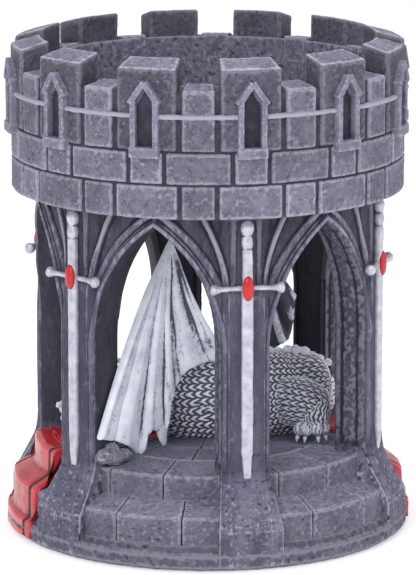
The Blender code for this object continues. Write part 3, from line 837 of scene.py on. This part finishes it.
def build_floor_slabs():
    """The paved middle of the floor: rings of slabs, with their joints cut between them."""
    spokes = np.linspace(0.0, TURN, 460, endpoint=False)
    radius, angle = np.meshgrid(np.linspace(0.01, 0.587, 105) * R, spokes, indexing="ij")
    circles = (0.12, 0.34)
    ring = sum((radius > circle * R).astype(float) for circle in circles)
    slabs = np.array([1.0, 6.0, 11.0])[ring.astype(int)]
    share = angle * slabs / TURN + 0.31 * ring
    joint = (0.5 - np.abs(share - np.floor(share) - 0.5)) * TURN / slabs * radius
    joint = np.where(ring < 1.0, 1.0, joint)
    for circle in circles:
        joint = np.minimum(joint, np.abs(radius - circle * R))
    skin = fbm(around(radius, angle, 0.0), 4.0 * MM, 3, 91) * 0.16 * MM
    top = 0.4590 * R - 0.32 * MM * smooth(0.55 * MM, 0.15 * MM, joint) + skin
    top = top - 0.4 * MM * smooth(0.578 * R, 0.587 * R, radius)
    upper = around(radius, angle, top)
    skirt = upper[-1:].copy()
    skirt[..., 2] = 0.42 * R
    # Each slab gets its own brightness from its number, well mixed by the sine.
    tone = 0.25 + np.sin(np.floor(share) * 12.9898 + ring * 78.233) * 0.22
    shape = Shape()
    shape.add_tube(np.concatenate([upper, skirt]), np.concatenate([tone.ravel(), tone[-1], [0.0, 0.0]]))
    mark_treads(make("floor_slabs", shape, step_stone, rounds=4))


# ---------------------------------------------------------------- swords
def loft_tube(shape, centres, side, rise, widths, heights, cols, skin, power=1.0):
    """A closed tube round a line of centres, its sections spanned by two directions, in metres.

    The section is an ellipse at power 1 and boxier below it.
    """
    turn = np.linspace(0.0, TURN, cols, endpoint=False)
    cos = np.sign(np.cos(turn)) * np.abs(np.cos(turn)) ** power
    sin = np.sign(np.sin(turn)) * np.abs(np.sin(turn)) ** power
    width = widths[:, None, None]
    height = heights[:, None, None]
    grid = centres[:, None, :] + (cos[None, :, None] * width * side + sin[None, :, None] * height * rise)
    normal = np.cos(turn)[None, :, None] / width.clip(1e-6) * side
    normal = normal + np.sin(turn)[None, :, None] / height.clip(1e-6) * rise
    shape.add_tube(grid + unit(normal) * skin(grid, turn / TURN)[..., None])


def end_round(along, total, radius):
    """Width factor that rounds a tube's two ends: 1 in its middle, small at the ends."""
    reach = np.clip(np.minimum(along, total - along) / radius, 0.0, 1.0)
    return np.sqrt(np.clip(1.0 - (1.0 - reach) ** 2, 0.0009, 1.0))


def eased(count):
    """Values from 0 to 1, closer together at both ends."""
    u = np.linspace(0.0, 1.0, count)
    return 0.5 * u + 0.5 * (0.5 - 0.5 * np.cos(math.pi * u))


def hammered(size, amount, seed):
    """A rough cast skin for loft_tube."""
    return lambda grid, turns: fbm(grid, size, 3, seed) * amount

def dome(shape, centre, half_axes, rows, rough, seed, tone=0.0):
    """A slightly lumpy ellipsoid spanned by three half axes."""
    lat = np.linspace(-0.5 * math.pi, 0.5 * math.pi, rows + 2)[1:-1]
    lon = np.linspace(0.0, TURN, 2 * rows, endpoint=False)
    lat, lon = np.meshgrid(lat, lon, indexing="ij")
    grid = stacked(np.cos(lat) * np.cos(lon), np.cos(lat) * np.sin(lon), np.sin(lat)) @ half_axes
    length = np.linalg.norm(grid, axis=2, keepdims=True)
    size = float(np.linalg.norm(half_axes, axis=1).max())
    lumps = (fbm(grid + seed * 0.37, 0.6 * size, 3, 19) * rough)[..., None] / length
    shape.add_tube(grid * (1.0 + lumps) + centre, tone)


SWORD_FACE = 0.9015
GUARD_HALF = 0.186
UP = np.array([0.0, 0.0, 1.0])


def sword_blade(shape, outward, across, k):
    """The blade, point down, with its grip and pommel above."""
    low, high = 0.446, 1.745
    z = low + eased(150) * (high - low)
    width = np.interp(z, [low, 0.53, 0.555, 0.575, 1.40, 1.43, 1.55, 1.590, 1.603, 1.615, 1.634, 1.655, 1.668,
                          1.680, 1.695, 1.712, 1.730, high],
                      [0.019, 0.024, 0.025, 0.0295, 0.0295, 0.026, 0.026, 0.025, 0.021, 0.026, 0.028, 0.026,
                       0.020, 0.027, 0.032, 0.033, 0.028, 0.010])
    depth = np.interp(z, [low, 0.50, 1.38, 1.42, 1.59, 1.603, 1.634, 1.668, 1.712, high],
                      [0.010, 0.019, 0.020, 0.022, 0.022, 0.018, 0.025, 0.018, 0.027, 0.010])
    wobble = 0.0022 * fbm(stacked(z * 3.0, float(k), 0.0), 0.35, 2, 5)
    centres = (outward[None] * (SWORD_FACE + 0.002) + across[None] * wobble[:, None]) * R
    centres[:, 2] = z * R
    skin = hammered(1.8 * MM, 0.11 * MM, 31 + k)
    loft_tube(shape, centres, across, outward, width * R, depth * R, 32, skin, power=0.72)


def sword_guard(shape, outward, across, k):
    """The crosspiece, with knobbed ends."""
    along = (eased(90) * 2.0 - 1.0) * GUARD_HALF
    side = np.abs(along)
    tall = np.interp(side, [0.0, 0.03, 0.12, 0.145, 0.165, 0.178, GUARD_HALF],
                     [0.0125, 0.0120, 0.0120, 0.016, 0.026, 0.027, 0.012])
    deep = np.interp(side, [0.0, 0.035, 0.06, 0.12, 0.165, 0.180, GUARD_HALF],
                     [0.009, 0.010, 0.015, 0.016, 0.023, 0.018, 0.008])
    centres = (outward[None] * (SWORD_FACE + 0.006) + across[None] * along[:, None]) * R
    centres[:, 2] = (1.407 - 0.003 * (side / GUARD_HALF) ** 2) * R
    cast = hammered(1.3 * MM, 0.20 * MM, 41 + k)

    def knobbed(grid, turns):
        lobes = 0.006 * R * np.abs(np.sin(TURN * turns))[None] ** 2 * smooth(0.15, 0.17, side)[:, None]
        return cast(grid, turns) + lobes

    loft_tube(shape, centres, UP, outward, tall * R, deep * R, 28, knobbed)


def build_swords():
    for k in range(PILLARS):
        angle = k * BAY
        outward = np.array([math.sin(angle), -math.cos(angle), 0.0])
        across = np.array([math.cos(angle), math.sin(angle), 0.0])
        shape = Shape()
        sword_blade(shape, outward, across, k)
        sword_guard(shape, outward, across, k)
        make(f"sword_cast_{k + 1}", shape, silver, (f"sword_{k + 1}",), rounds=6)
        gem = Shape()
        half_axes = np.stack([across * 0.0290, outward * 0.0205, UP * 0.064]) * R
        dome(gem, (outward * 0.924 + UP * 1.408) * R, half_axes, 44, 0.10 * MM, k)
        make(f"gem_bead_{k + 1}", gem, ruby, (f"sword_gem_{k + 1}",), rounds=6)


# ---------------------------------------------------------------- carpets
CARPET_HALF = math.radians(16.5)
CARPET_LINE = math.radians(13.2)
# The carpet's upper and lower lines over the steps, as (radius, height) in radii.
CARPET_OVER = [(1.0395, 0.026), (1.0395, 0.104), (1.034, 0.116), (1.012, 0.127), (1.007, 0.140),
               (1.005, 0.270), (0.999, 0.285), (0.985, 0.296), (0.906, 0.338), (0.898, 0.352),
               (0.895, 0.450), (0.886, 0.467), (0.862, 0.474), (0.790, 0.4785)]
CARPET_UNDER = [(0.790, 0.445), (0.850, 0.435), (0.860, 0.33), (0.960, 0.275), (0.975, 0.14), (1.02, 0.10),
                (1.02, 0.026)]


def build_carpets():
    """The carpet over the steps on both sides, with a black line sunk near its edge, and across the floor."""
    top = dense(CARPET_OVER, 0.55 * MM / R, closed=False)
    low = dense(CARPET_UNDER, 1.6 * MM / R, closed=False)
    profile = np.concatenate([top, low]) * R
    on_top = np.concatenate([np.ones(len(top)), np.zeros(len(low))])[None]
    run = np.concatenate([[0.0], np.cumsum(np.linalg.norm(np.diff(top, axis=0), axis=1))])
    hem_line = smooth(0.030, 0.034, run) * smooth(0.052, 0.048, run)
    hem_line = np.concatenate([hem_line, np.zeros(len(low))])[None]
    for name, middle in (("left", -0.25 * TURN), ("right", 0.25 * TURN)):
        angles = middle + (eased(190) * 2.0 - 1.0) * CARPET_HALF
        offset = np.abs(angles - middle)[:, None]
        groove = bump(offset - CARPET_LINE, math.radians(0.95))
        groove = np.maximum(groove, hem_line * (offset < CARPET_LINE)) * on_top
        tuck = 0.6 * (1.0 - end_round(np.arange(190.0), 189.0, 5.0))[:, None]
        rough = fbm(sweep(profile, angles, 0.0), 5.0 * MM, 3, 44) * 0.22 * MM - 0.25 * MM
        shape = Shape()
        shape.add_tube(sweep(profile, angles, (rough - groove * 0.45 * MM - tuck * 0.5 * MM) * on_top))
        obj = make(f"carpet_{name}_fold", shape, carpet_red, (f"carpet_{name}",), rounds=7)
        store(obj.data, "line", np.concatenate([groove.ravel(), [0.0, 0.0]]))
    build_runner()


def build_runner():
    """The strip of carpet across the floor, under the dragon, narrow where its belly lies."""
    rows, cols = 300, 70
    along = np.linspace(-0.786, 0.786, rows)[:, None]
    lane = (eased(cols) * 2.0 - 1.0)[None]
    wide = smooth(0.50, 0.66, np.abs(along))
    half = 0.045 + 0.120 * wide + 0.055 * smooth(0.68, 0.775, np.abs(along))
    y = half * lane
    groove = bump(np.abs(y) - (half - 0.040), 0.009) * wide
    flat = stacked(along, y, 0.0) * R
    upper = flat.copy()
    upper[..., 2] = 0.4780 * R + fbm(flat, 6.0 * MM, 3, 46) * 0.22 * MM - groove * 0.35 * MM
    upper[..., 2] -= 0.8 * MM * smooth(0.9, 1.0, np.abs(lane))
    lower = flat[:, [-1, 0]].copy()
    lower[..., 2] = 0.450 * R
    shape = Shape()
    shape.add_tube(np.concatenate([upper, lower], axis=1))
    obj = make("carpet_floor_strip", shape, carpet_red, ("carpet_runner",), rounds=6)
    line = np.concatenate([groove, np.zeros((rows, 2))], axis=1)
    store(obj.data, "line", np.concatenate([line.ravel(), [0.0, 0.0]]))


# ---------------------------------------------------------------- dragon
def lair(along, near, height):
    """Points in the dragon's own frame (along its back, to its near side, up), in radii, to the scene."""
    x = along * math.cos(DRAGON_TURN) - near * math.sin(DRAGON_TURN)
    y = -(near * math.cos(DRAGON_TURN) + along * math.sin(DRAGON_TURN))
    return stacked(x, y, height) * R


def spline(stations, places):
    """Stations joined by a smooth curve, read at places from 0 to 1 of its length; also its length."""
    stations = np.asarray(stations, float)
    chord = np.linalg.norm(np.diff(stations[:, :3], axis=0), axis=1)
    knots = np.concatenate([[0.0], np.cumsum(chord)])
    slope = np.gradient(stations, knots, axis=0)
    at = places * knots[-1]
    i = np.clip(np.searchsorted(knots, at, side="right") - 1, 0, len(chord) - 1)
    t = ((at - knots[i]) / chord[i])[:, None]
    h = chord[i][:, None]
    curve = (2 * t ** 3 - 3 * t ** 2 + 1) * stations[i] + (t ** 3 - 2 * t ** 2 + t) * h * slope[i]
    curve += (3 * t ** 2 - 2 * t ** 3) * stations[i + 1] + (t ** 3 - t ** 2) * h * slope[i + 1]
    return curve, knots[-1]


DRAGON_FLOOR = 0.4600


def limb(shape, stations, rows, cols, skin, tone=0.0, ends=0.8):
    """A smooth limb through (along, near, height, half width, half height) stations, with rounded ends."""
    places = eased(rows)
    line, length = spline(stations, places)
    centre = lair(line[:, 0], line[:, 1], line[:, 2])
    heading = unit(np.gradient(centre, axis=0))
    side = np.cross(heading, UP)
    upright = np.linalg.norm(side, axis=1) < 0.15
    side[upright] = np.cross(heading[upright], np.array([0.3, -1.0, 0.0]))
    side = unit(side)
    rise = np.cross(side, heading)
    cap = ends * np.maximum(line[[0, -1], 3], line[[0, -1], 4])
    along = places * length
    factor = end_round(along, 2.0 * length, cap[0])
    factor = np.minimum(factor, end_round(length - along, 2.0 * length, cap[1]))
    turns = np.arange(cols) / cols
    cos = np.cos(TURN * turns)[None]
    sin = np.sin(TURN * turns)[None]
    width = (line[:, 3] * factor * R)[:, None]
    height = (line[:, 4] * factor * R)[:, None]
    side = side[:, None]
    rise = rise[:, None]
    grid = centre[:, None] + (cos * width)[..., None] * side + (sin * height)[..., None] * rise
    normal = (cos / width)[..., None] * side + (sin / height)[..., None] * rise
    push = skin(grid, (along * R)[:, None], np.broadcast_to(turns[None], grid.shape[:2]))
    grid = grid + unit(normal) * push[..., None]
    grid[..., 2] = np.maximum(grid[..., 2], DRAGON_FLOOR * R)
    shape.add_tube(grid, tone)


def scaled(around, pitch=2.0, height=0.55, rough=0.12, seed=3):
    """A skin of chevron scales in rows along a limb; around is how many rows go round it, sizes in mm."""
    def skin(grid, run, turns):
        sway = fbm(grid, 7.0 * MM, 2, seed) * 0.8
        ring = turns * around + 0.40 * sway
        row = np.floor(ring)
        across = np.abs(ring - row - 0.5)
        phase = run / (pitch * MM) + 0.5 * (row % 2) - 1.2 * across + sway
        phase = phase - np.floor(phase)
        arch = 1.0 - (2.0 * across) ** 2.4
        ramp = smooth(0.0, 0.75, phase) * smooth(1.0, 0.84, phase)
        tall = height * (1.0 + 0.45 * fbm(grid, 2.6 * MM, 2, seed + 7))
        scale = tall * arch * (0.15 + 0.85 * ramp) - 0.3 * height
        return (scale + rough * fbm(grid, 1.1 * MM, 2, seed + 5)) * MM
    return skin


def furrowed(ridges, depth, seed):
    """A skin with uneven furrows running along the limb; depth is in millimetres."""
    def skin(grid, run, turns):
        wave = np.sin(TURN * ridges * turns + 7.0 * fbm(grid, 3.0 * MM, 3, seed))
        wave = wave * (0.6 + 0.6 * fbm(grid, 2.0 * MM, 2, seed + 1))
        return depth * (wave + fbm(grid, 1.2 * MM, 3, seed + 3)) * MM
    return skin


def build_trunk():
    shape = Shape()
    limb(shape, [(-0.60, -0.030, 0.660, 0.075, 0.080), (-0.49, -0.055, 0.690, 0.090, 0.095),
                 (-0.40, -0.050, 0.675, 0.125, 0.135), (-0.30, -0.035, 0.655, 0.170, 0.178),
                 (-0.20, -0.030, 0.645, 0.210, 0.220), (-0.05, -0.035, 0.642, 0.235, 0.240),
                 (0.12, -0.055, 0.640, 0.250, 0.236), (0.30, -0.085, 0.640, 0.245, 0.226),
                 (0.42, -0.105, 0.650, 0.225, 0.212), (0.52, -0.130, 0.675, 0.190, 0.175),
                 (0.59, -0.150, 0.680, 0.155, 0.145), (0.635, -0.160, 0.680, 0.130, 0.120)],
         250, 380, scaled(37, 2.05, 0.75), -1.45, ends=0.55)
    make("dragon_trunk", shape, hide, ("dragon_body", "dragon_neck"), rounds=6)
    tail = Shape()
    limb(tail, [(0.50, -0.22, 0.600, 0.100, 0.130), (0.585, -0.270, 0.600, 0.085, 0.115),
                (0.590, -0.350, 0.580, 0.070, 0.095), (0.500, -0.430, 0.560, 0.065, 0.075),
                (0.320, -0.490, 0.545, 0.055, 0.060), (0.110, -0.520, 0.530, 0.045, 0.048),
                (-0.090, -0.500, 0.500, 0.024, 0.028)], 220, 110, scaled(20, 1.8, 0.45), ends=0.9)
    limb(tail, [(-0.085, -0.500, 0.500, 0.022, 0.020), (-0.130, -0.492, 0.492, 0.045, 0.022),
                (-0.175, -0.480, 0.480, 0.004, 0.006)], 40, 40, furrowed(8, 0.10, 12))
    make("dragon_tail_scaled", tail, hide, ("dragon_tail",), rounds=6)
    build_crest()


def build_crest():
    """Knobs along the back, biggest over the hips."""
    crest = Shape()
    knobs = [(-0.26, 0.014), (-0.20, 0.015), (-0.14, 0.016), (-0.07, 0.016), (0.00, 0.017), (0.07, 0.017),
             (0.14, 0.018), (0.21, 0.018), (0.275, 0.019), (0.320, 0.020), (0.362, 0.020), (0.410, 0.026),
             (0.452, 0.029), (0.496, 0.027), (0.540, 0.018), (0.580, 0.018), (0.622, 0.019)]
    for i, (along, size) in enumerate(knobs):
        near = np.interp(along, [-0.3, 0.12, 0.30, 0.62], [-0.045, -0.060, -0.090, -0.155])
        top = np.interp(along, [-0.3, -0.2, -0.05, 0.12, 0.30, 0.42, 0.52, 0.62],
                        [0.830, 0.868, 0.882, 0.876, 0.865, 0.862, 0.845, 0.790])
        half_axes = np.diag([1.15, 1.0, 1.05]) * size * R
        dome(crest, lair(along, near, top + 0.20 * size), half_axes, 18, 0.45 * MM, i, 0.5)
    make("dragon_crest", crest, hide, rounds=5)


def build_head():
    shape = Shape()
    limb(shape, [(-0.545, -0.035, 0.665, 0.070, 0.070), (-0.610, -0.022, 0.655, 0.086, 0.080),
                 (-0.660, -0.008, 0.635, 0.076, 0.066), (-0.715, 0.014, 0.600, 0.055, 0.046),
                 (-0.765, 0.030, 0.585, 0.047, 0.040)], 90, 80, scaled(16, 1.5, 0.25, 0.10))
    limb(shape, [(-0.600, -0.022, 0.580, 0.062, 0.034), (-0.700, 0.010, 0.545, 0.048, 0.022),
                 (-0.758, 0.029, 0.535, 0.034, 0.018)], 60, 44, furrowed(6, 0.10, 5))
    for sign in (-1.0, 1.0):
        build_head_side(shape, sign)
    make("dragon_head_cast", shape, hide, ("dragon_head",), rounds=5)


def build_head_side(shape, sign):
    """A horn, a brow, an eye, a nostril and four teeth on one side of the head."""
    limb(shape, [(-0.600, -0.022 + sign * 0.055, 0.715, 0.022, 0.022),
                 (-0.545, -0.030 + sign * 0.085, 0.765, 0.019, 0.019),
                 (-0.480, -0.040 + sign * 0.105, 0.800, 0.014, 0.014),
                 (-0.405, -0.045 + sign * 0.115, 0.812, 0.004, 0.004)], 60, 26, furrowed(7, 0.12, 8), 0.4)
    limb(shape, [(-0.600, -0.022 + sign * 0.070, 0.690, 0.016, 0.014),
                 (-0.650, -0.010 + sign * 0.068, 0.682, 0.017, 0.013),
                 (-0.690, 0.004 + sign * 0.046, 0.650, 0.010, 0.009)], 34, 22, furrowed(5, 0.08, 9))
    dome(shape, lair(-0.655, -0.010 + sign * 0.066, 0.652), np.diag([0.017, 0.012, 0.013]) * R, 12, 0.05 * MM,
         2, -0.8)
    dome(shape, lair(-0.770, 0.032 + sign * 0.024, 0.612), np.diag([0.012, 0.010, 0.010]) * R, 10, 0.05 * MM,
         3, 0.4)
    for j in range(4):
        along = -0.022 * j
        near = 0.004 + 0.008 * j
        height = -0.003 * j
        limb(shape, [(along - 0.685, near + sign * (0.050 - 0.004 * j), height + 0.572, 0.006, 0.006),
                     (along - 0.688, near + sign * (0.052 - 0.004 * j), height + 0.548, 0.0018, 0.0018)],
             8, 10, furrowed(3, 0.01, 2), 0.9)


def toe(shape, start, knuckle, tip, thick, seed):
    """A toe over its knuckle to the floor, with a claw at its end."""
    knuckle = np.array(knuckle)
    tip = np.array(tip)
    limb(shape, [(*start, thick, thick), (*knuckle, 1.15 * thick, 1.1 * thick),
                 (*(0.35 * knuckle + 0.65 * tip), thick, 0.9 * thick)], 34, 30, furrowed(9, 0.20, seed), -1.5)
    root = 0.25 * knuckle + 0.75 * tip
    root[2] = tip[2] + 0.012
    point = tip + (tip - knuckle) * 0.30
    point[2] = DRAGON_FLOOR + 0.006
    middle = 0.5 * (root + point) + np.array([0.0, 0.0, 0.006])
    limb(shape, [(*root, 0.50 * thick, 0.48 * thick), (*middle, 0.36 * thick, 0.36 * thick),
                 (*point, 0.07 * thick, 0.07 * thick)], 22, 14, furrowed(3, 0.02, seed), 1.0)


def build_legs():
    hind = Shape()
    limb(hind, [(0.330, 0.050, 0.640, 0.050, 0.080), (0.400, 0.090, 0.650, 0.085, 0.120),
                (0.480, 0.105, 0.640, 0.090, 0.125), (0.560, 0.090, 0.610, 0.070, 0.095),
                (0.590, 0.080, 0.580, 0.050, 0.060)], 120, 190, scaled(25, 1.8, 0.60), -0.90)
    limb(hind, [(0.575, 0.085, 0.660, 0.045, 0.060), (0.560, 0.125, 0.610, 0.072, 0.060),
                (0.535, 0.160, 0.550, 0.085, 0.055), (0.525, 0.180, 0.515, 0.075, 0.042)],
         80, 130, furrowed(24, 0.26, 6), -1.2)
    for i, (knuckle, tip) in enumerate((((0.468, 0.205, 0.525), (0.455, 0.230, 0.485)),
                                        ((0.502, 0.225, 0.530), (0.494, 0.250, 0.485)),
                                        ((0.556, 0.222, 0.530), (0.562, 0.247, 0.485)),
                                        ((0.592, 0.195, 0.525), (0.602, 0.215, 0.485)))):
        toe(hind, (0.530, 0.160, 0.530), knuckle, tip, 0.028, 60 + i)
    make("dragon_hind_leg_cast", hind, hide, ("dragon_hind_leg",), rounds=5)
    fore = Shape()
    limb(fore, [(-0.300, 0.100, 0.600, 0.060, 0.070), (-0.360, 0.200, 0.560, 0.055, 0.060),
                (-0.440, 0.300, 0.510, 0.048, 0.045), (-0.500, 0.375, 0.495, 0.045, 0.035)],
         70, 80, scaled(14, 1.8, 0.4), -0.2)
    for i, (knuckle, tip) in enumerate((((-0.545, 0.365, 0.505), (-0.575, 0.375, 0.478)),
                                        ((-0.540, 0.405, 0.508), (-0.562, 0.430, 0.478)),
                                        ((-0.505, 0.425, 0.508), (-0.512, 0.458, 0.478)))):
        toe(fore, (-0.490, 0.365, 0.500), knuckle, tip, 0.025, 70 + i)
    make("dragon_forepaw_cast", fore, hide, ("dragon_forepaw",), rounds=5)


def ridge(a, middle, width, height):
    return height * np.exp(-((a - middle) / width) ** 2)


WING_THICK = 0.030


def wing_sheet(wrist, wrist_width, edge, folds, count, bow, side):
    """The middle surface of a wing: a pleated sheet fanning from the wrist to its scalloped edge."""
    edge = np.array(edge, float)
    a = np.linspace(0.0, 1.0, count)
    t = eased(count)[None]
    outline = stacked(*[np.interp(a, edge[:, 0], edge[:, axis]) for axis in (1, 2, 3)])
    outline[1:-1] = 0.25 * outline[:-2] + 0.5 * outline[1:-1] + 0.25 * outline[2:]
    off = a - 0.5
    top = np.array(wrist) + stacked(off, 0.0, -0.3 * off ** 2) * wrist_width
    sheet = top[:, None] + (outline - top)[:, None] * t[..., None]
    a = a[:, None]
    wander = a + 0.006 * np.sin(7.0 * t + 1.0) + 0.004 * np.sin(17.0 * t)
    pleat = np.interp(wander, [fold[0] for fold in folds], [fold[1] for fold in folds])
    for middle, height, width in folds:
        if height < 0.0:
            pleat += ridge(wander, middle, width, -0.012)
    pleat = pleat * (0.05 + 0.95 * smooth(0.0, 0.75, t))
    arch = np.sin(math.pi * t)
    return lair(sheet[..., 0] - bow * arch, sheet[..., 1] + (0.05 * arch + pleat) * side, sheet[..., 2])


def wing_tone(count, base_tone, washes):
    """The wing's brightness, with a dark band along each washed fold that fades towards the free edge."""
    a = np.linspace(0.0, 1.0, count)[:, None]
    t = eased(count)[None]
    tone = np.full((count, count), base_tone)
    fade = smooth(0.04, 0.25, t) * (0.15 + 0.85 * smooth(0.99, 0.86, t))
    for middle, width, strength in washes:
        swayed = a + 0.006 * np.sin(11.0 * t + 30.0 * middle)
        tone = tone + ridge(swayed, middle, width / (0.35 + 0.65 * t), -strength) * fade
    return tone


def build_wing(node, wrist, wrist_width, edge, folds, washes, count, bow=0.0, base_tone=0.25, side=1.0):
    """A folded wing, given a thickness.

    edge holds (share, along, near, height) along the free edge; folds are (share, rise, groove width) of the
    pleats' crests and valleys; washes are (share, width, strength) of its dark bands; side is -1 for a wing
    that bulges away from the dragon's near side.
    """
    world = wing_sheet(wrist, wrist_width, edge, folds, count, bow, side)
    normal = unit(np.cross(np.gradient(world, axis=0), np.gradient(world, axis=1)))
    normal = normal * np.sign(np.sum(normal @ (lair(0.0, 1.0, 0.0) / R)))
    a = np.linspace(0.0, 1.0, count)[:, None]
    t = eased(count)[None]
    rim = np.minimum(end_round(a, 1.0, 0.035), end_round(t, 1.0, 0.030))
    body = 0.5 * WING_THICK * R * rim * (0.35 + 0.65 * smooth(0.0, 0.3, t))
    body = body * (1.0 + ridge(a, 0.0, 0.05, 0.7) + ridge(a, 1.0, 0.05, 0.4))
    streaks = fbm(stacked(a * 40.0, t * 5.0, 0.0), 1.0, 3, 15)
    rough = (0.07 * streaks + 0.06 * fbm(world, 1.5 * MM, 3, 81)) * MM * rim
    offset = normal * (body + rough)[..., None]
    verts = np.concatenate([(world + offset).reshape(-1, 3), (world - offset).reshape(-1, 3)])
    front = grid_faces(count, count)
    shift = count * count
    index = np.arange(shift).reshape(count, count)
    loop = np.concatenate([index[:-1, 0], index[-1, :-1], index[:0:-1, -1], index[0, :0:-1]])
    after = np.roll(loop, -1)
    wall = np.stack([after + shift, loop + shift, loop, after], axis=-1)
    tone = wing_tone(count, base_tone, washes).ravel()
    shape = Shape()
    shape.add(verts, [front, front[:, ::-1] + shift, wall], np.concatenate([tone, tone]))
    make(f"{node}_sheet", shape, hide, (node,), rounds=10)


def build_near_wing():
    edge = [(0.00, -0.545, 0.700, 0.600), (0.08, -0.515, 0.665, 0.588), (0.16, -0.475, 0.625, 0.568),
            (0.22, -0.441, 0.595, 0.556), (0.27, -0.405, 0.560, 0.535), (0.31, -0.378, 0.530, 0.500),
            (0.335, -0.362, 0.510, 0.468), (0.375, -0.334, 0.508, 0.464), (0.42, -0.315, 0.500, 0.490),
            (0.45, -0.302, 0.480, 0.560), (0.49, -0.282, 0.470, 0.592), (0.53, -0.258, 0.462, 0.580),
            (0.565, -0.240, 0.458, 0.520), (0.60, -0.222, 0.452, 0.488), (0.625, -0.205, 0.430, 0.580),
            (0.66, -0.190, 0.385, 0.700), (0.70, -0.176, 0.350, 0.765), (0.75, -0.135, 0.310, 0.820),
            (0.80, -0.095, 0.275, 0.860), (0.87, -0.030, 0.225, 0.875), (0.94, 0.040, 0.180, 0.875),
            (1.00, 0.105, 0.130, 0.885)]
    folds = [(0.0, 0.020, 0.02), (0.17, -0.010, 0.02), (0.27, 0.016, 0.0), (0.355, -0.030, 0.010),
             (0.47, 0.020, 0.0), (0.610, -0.032, 0.010), (0.675, 0.014, 0.0), (0.745, -0.022, 0.018),
             (0.82, 0.014, 0.0), (0.91, -0.016, 0.018), (1.0, 0.012, 0.0)]
    washes = [(0.355, 0.019, 9.0), (0.606, 0.021, 9.5), (0.375, 0.034, 1.0), (0.63, 0.030, 1.2),
              (0.745, 0.026, 4.4), (0.91, 0.032, 4.6), (0.17, 0.018, 1.8), (0.47, 0.012, 2.0),
              (0.82, 0.010, 1.0), (0.27, 0.010, 0.8)]
    build_wing("dragon_near_wing", (-0.190, 0.250, 1.520), 0.016, edge, folds, washes, 190, 0.022, 0.75)


def build_far_wing():
    edge = [(0.00, 0.050, -0.370, 0.790), (0.12, 0.110, -0.370, 0.830), (0.30, 0.170, -0.390, 0.750),
            (0.45, 0.240, -0.380, 0.820), (0.60, 0.320, -0.380, 0.790), (0.72, 0.385, -0.360, 0.850),
            (0.82, 0.425, -0.350, 0.870), (0.90, 0.440, -0.350, 0.960), (1.00, 0.462, -0.365, 1.100)]
    folds = [(0.0, 0.015, 0.02), (0.14, -0.020, 0.02), (0.30, 0.015, 0.02), (0.45, -0.025, 0.02),
             (0.60, 0.015, 0.02), (0.74, -0.025, 0.02), (0.84, 0.018, 0.02), (0.93, -0.012, 0.02),
             (1.0, 0.012, 0.02)]
    washes = [(0.14, 0.04, 0.8), (0.45, 0.04, 1.0), (0.74, 0.03, 0.8), (0.92, 0.10, 2.5)]
    # The base tone of -4.0 makes the far wing near-black: painted shade for the shadow it sits in behind the
    # body.
    build_wing("dragon_far_wing", (0.200, -0.370, 1.430), 0.020, edge, folds, washes, 140, base_tone=-4.0,
               side=-1.0)


def build_heap():
    """The rough heap of stone on the floor beside the near wing."""
    heap = Shape()
    lumps = [(-0.520, 0.660, 0.500, 0.042), (-0.470, 0.625, 0.490, 0.046), (-0.425, 0.575, 0.485, 0.036),
             (-0.490, 0.600, 0.525, 0.040), (-0.540, 0.620, 0.485, 0.036)]
    for i, (along, near, height, size) in enumerate(lumps):
        half_axes = np.array([(1.2, 0.2, 0.0), (-0.2, 1.0, 0.0), (0.0, 0.0, 0.9)]) * size * R
        dome(heap, lair(along, near, height), half_axes, 40, 0.7 * MM, 31 + i, 0.2)
    make("rough_heap", heap, inner_stone, rounds=6)


# ---------------------------------------------------------------- camera, light, floor
ELEVATION = math.radians(12.03)
AZIMUTH = -DRAGON_TURN
LENS_MM = 244.55
TARGET = Vector((0.0, 0.0, 1.222 * R))


def build_stage():
    bpy.ops.mesh.primitive_plane_add(size=6.0, location=(0.0, 0.0, 0.0))
    floor = bpy.context.object
    floor.name = "studio_floor"
    n = Nodes("studio_paper")
    n.shader.inputs["Base Color"].default_value = (0.92, 0.92, 0.93, 1.0)
    n.shader.inputs["Roughness"].default_value = 0.9
    n.shader.inputs["Emission Color"].default_value = (1.0, 1.0, 1.0, 1.0)
    n.shader.inputs["Emission Strength"].default_value = 0.40
    floor.data.materials.append(n.mat)
    world = bpy.data.worlds.new("studio")
    bpy.context.scene.world = world
    world.use_nodes = True
    background = world.node_tree.nodes["Background"]
    background.inputs["Color"].default_value = (1.0, 1.0, 1.0, 1.0)
    background.inputs["Strength"].default_value = 0.62
    bpy.context.scene.view_settings.view_transform = "Standard"
    tower_middle = Vector((0.0, 0.0, 0.07))
    for name, place, size, power in (("key", (-0.50, -0.80, 0.60), 0.5, 3.4),
                                     ("fill", (0.70, -0.70, 0.35), 0.6, 1.3),
                                     ("top", (0.05, 0.20, 1.0), 0.6, 1.6)):
        light = bpy.data.lights.new(name, "AREA")
        light.size = size
        light.energy = power
        lamp = bpy.data.objects.new(name, light)
        lamp.location = place
        lamp.rotation_euler = (tower_middle - Vector(place)).to_track_quat("-Z", "Y").to_euler()
        bpy.context.scene.collection.objects.link(lamp)


def build_camera():
    away = Vector((math.sin(AZIMUTH) * math.cos(ELEVATION), -math.cos(AZIMUTH) * math.cos(ELEVATION),
                   math.sin(ELEVATION)))
    data = bpy.data.cameras.new("camera")
    data.sensor_fit = "AUTO"
    data.sensor_width = 36.0
    data.lens = LENS_MM
    data.clip_start = 0.05
    data.clip_end = 20.0
    camera = bpy.data.objects.new("camera", data)
    camera.location = TARGET + away * (20.0 * R)
    camera.rotation_euler = (-away).to_track_quat("-Z", "Y").to_euler()
    bpy.context.scene.collection.objects.link(camera)
    bpy.context.scene.camera = camera


build_camera()
build_stage()
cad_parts["base_felt"].data.materials.clear()
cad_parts["base_felt"].data.materials.append(black_felt)
build_drum()
build_merlons()
build_string_course()
build_niche_frames()
for number in range(PILLARS):
    build_pillar(number)
build_base()
build_swords()
build_carpets()
build_trunk()
build_head()
build_legs()
build_near_wing()
build_far_wing()
build_heap()
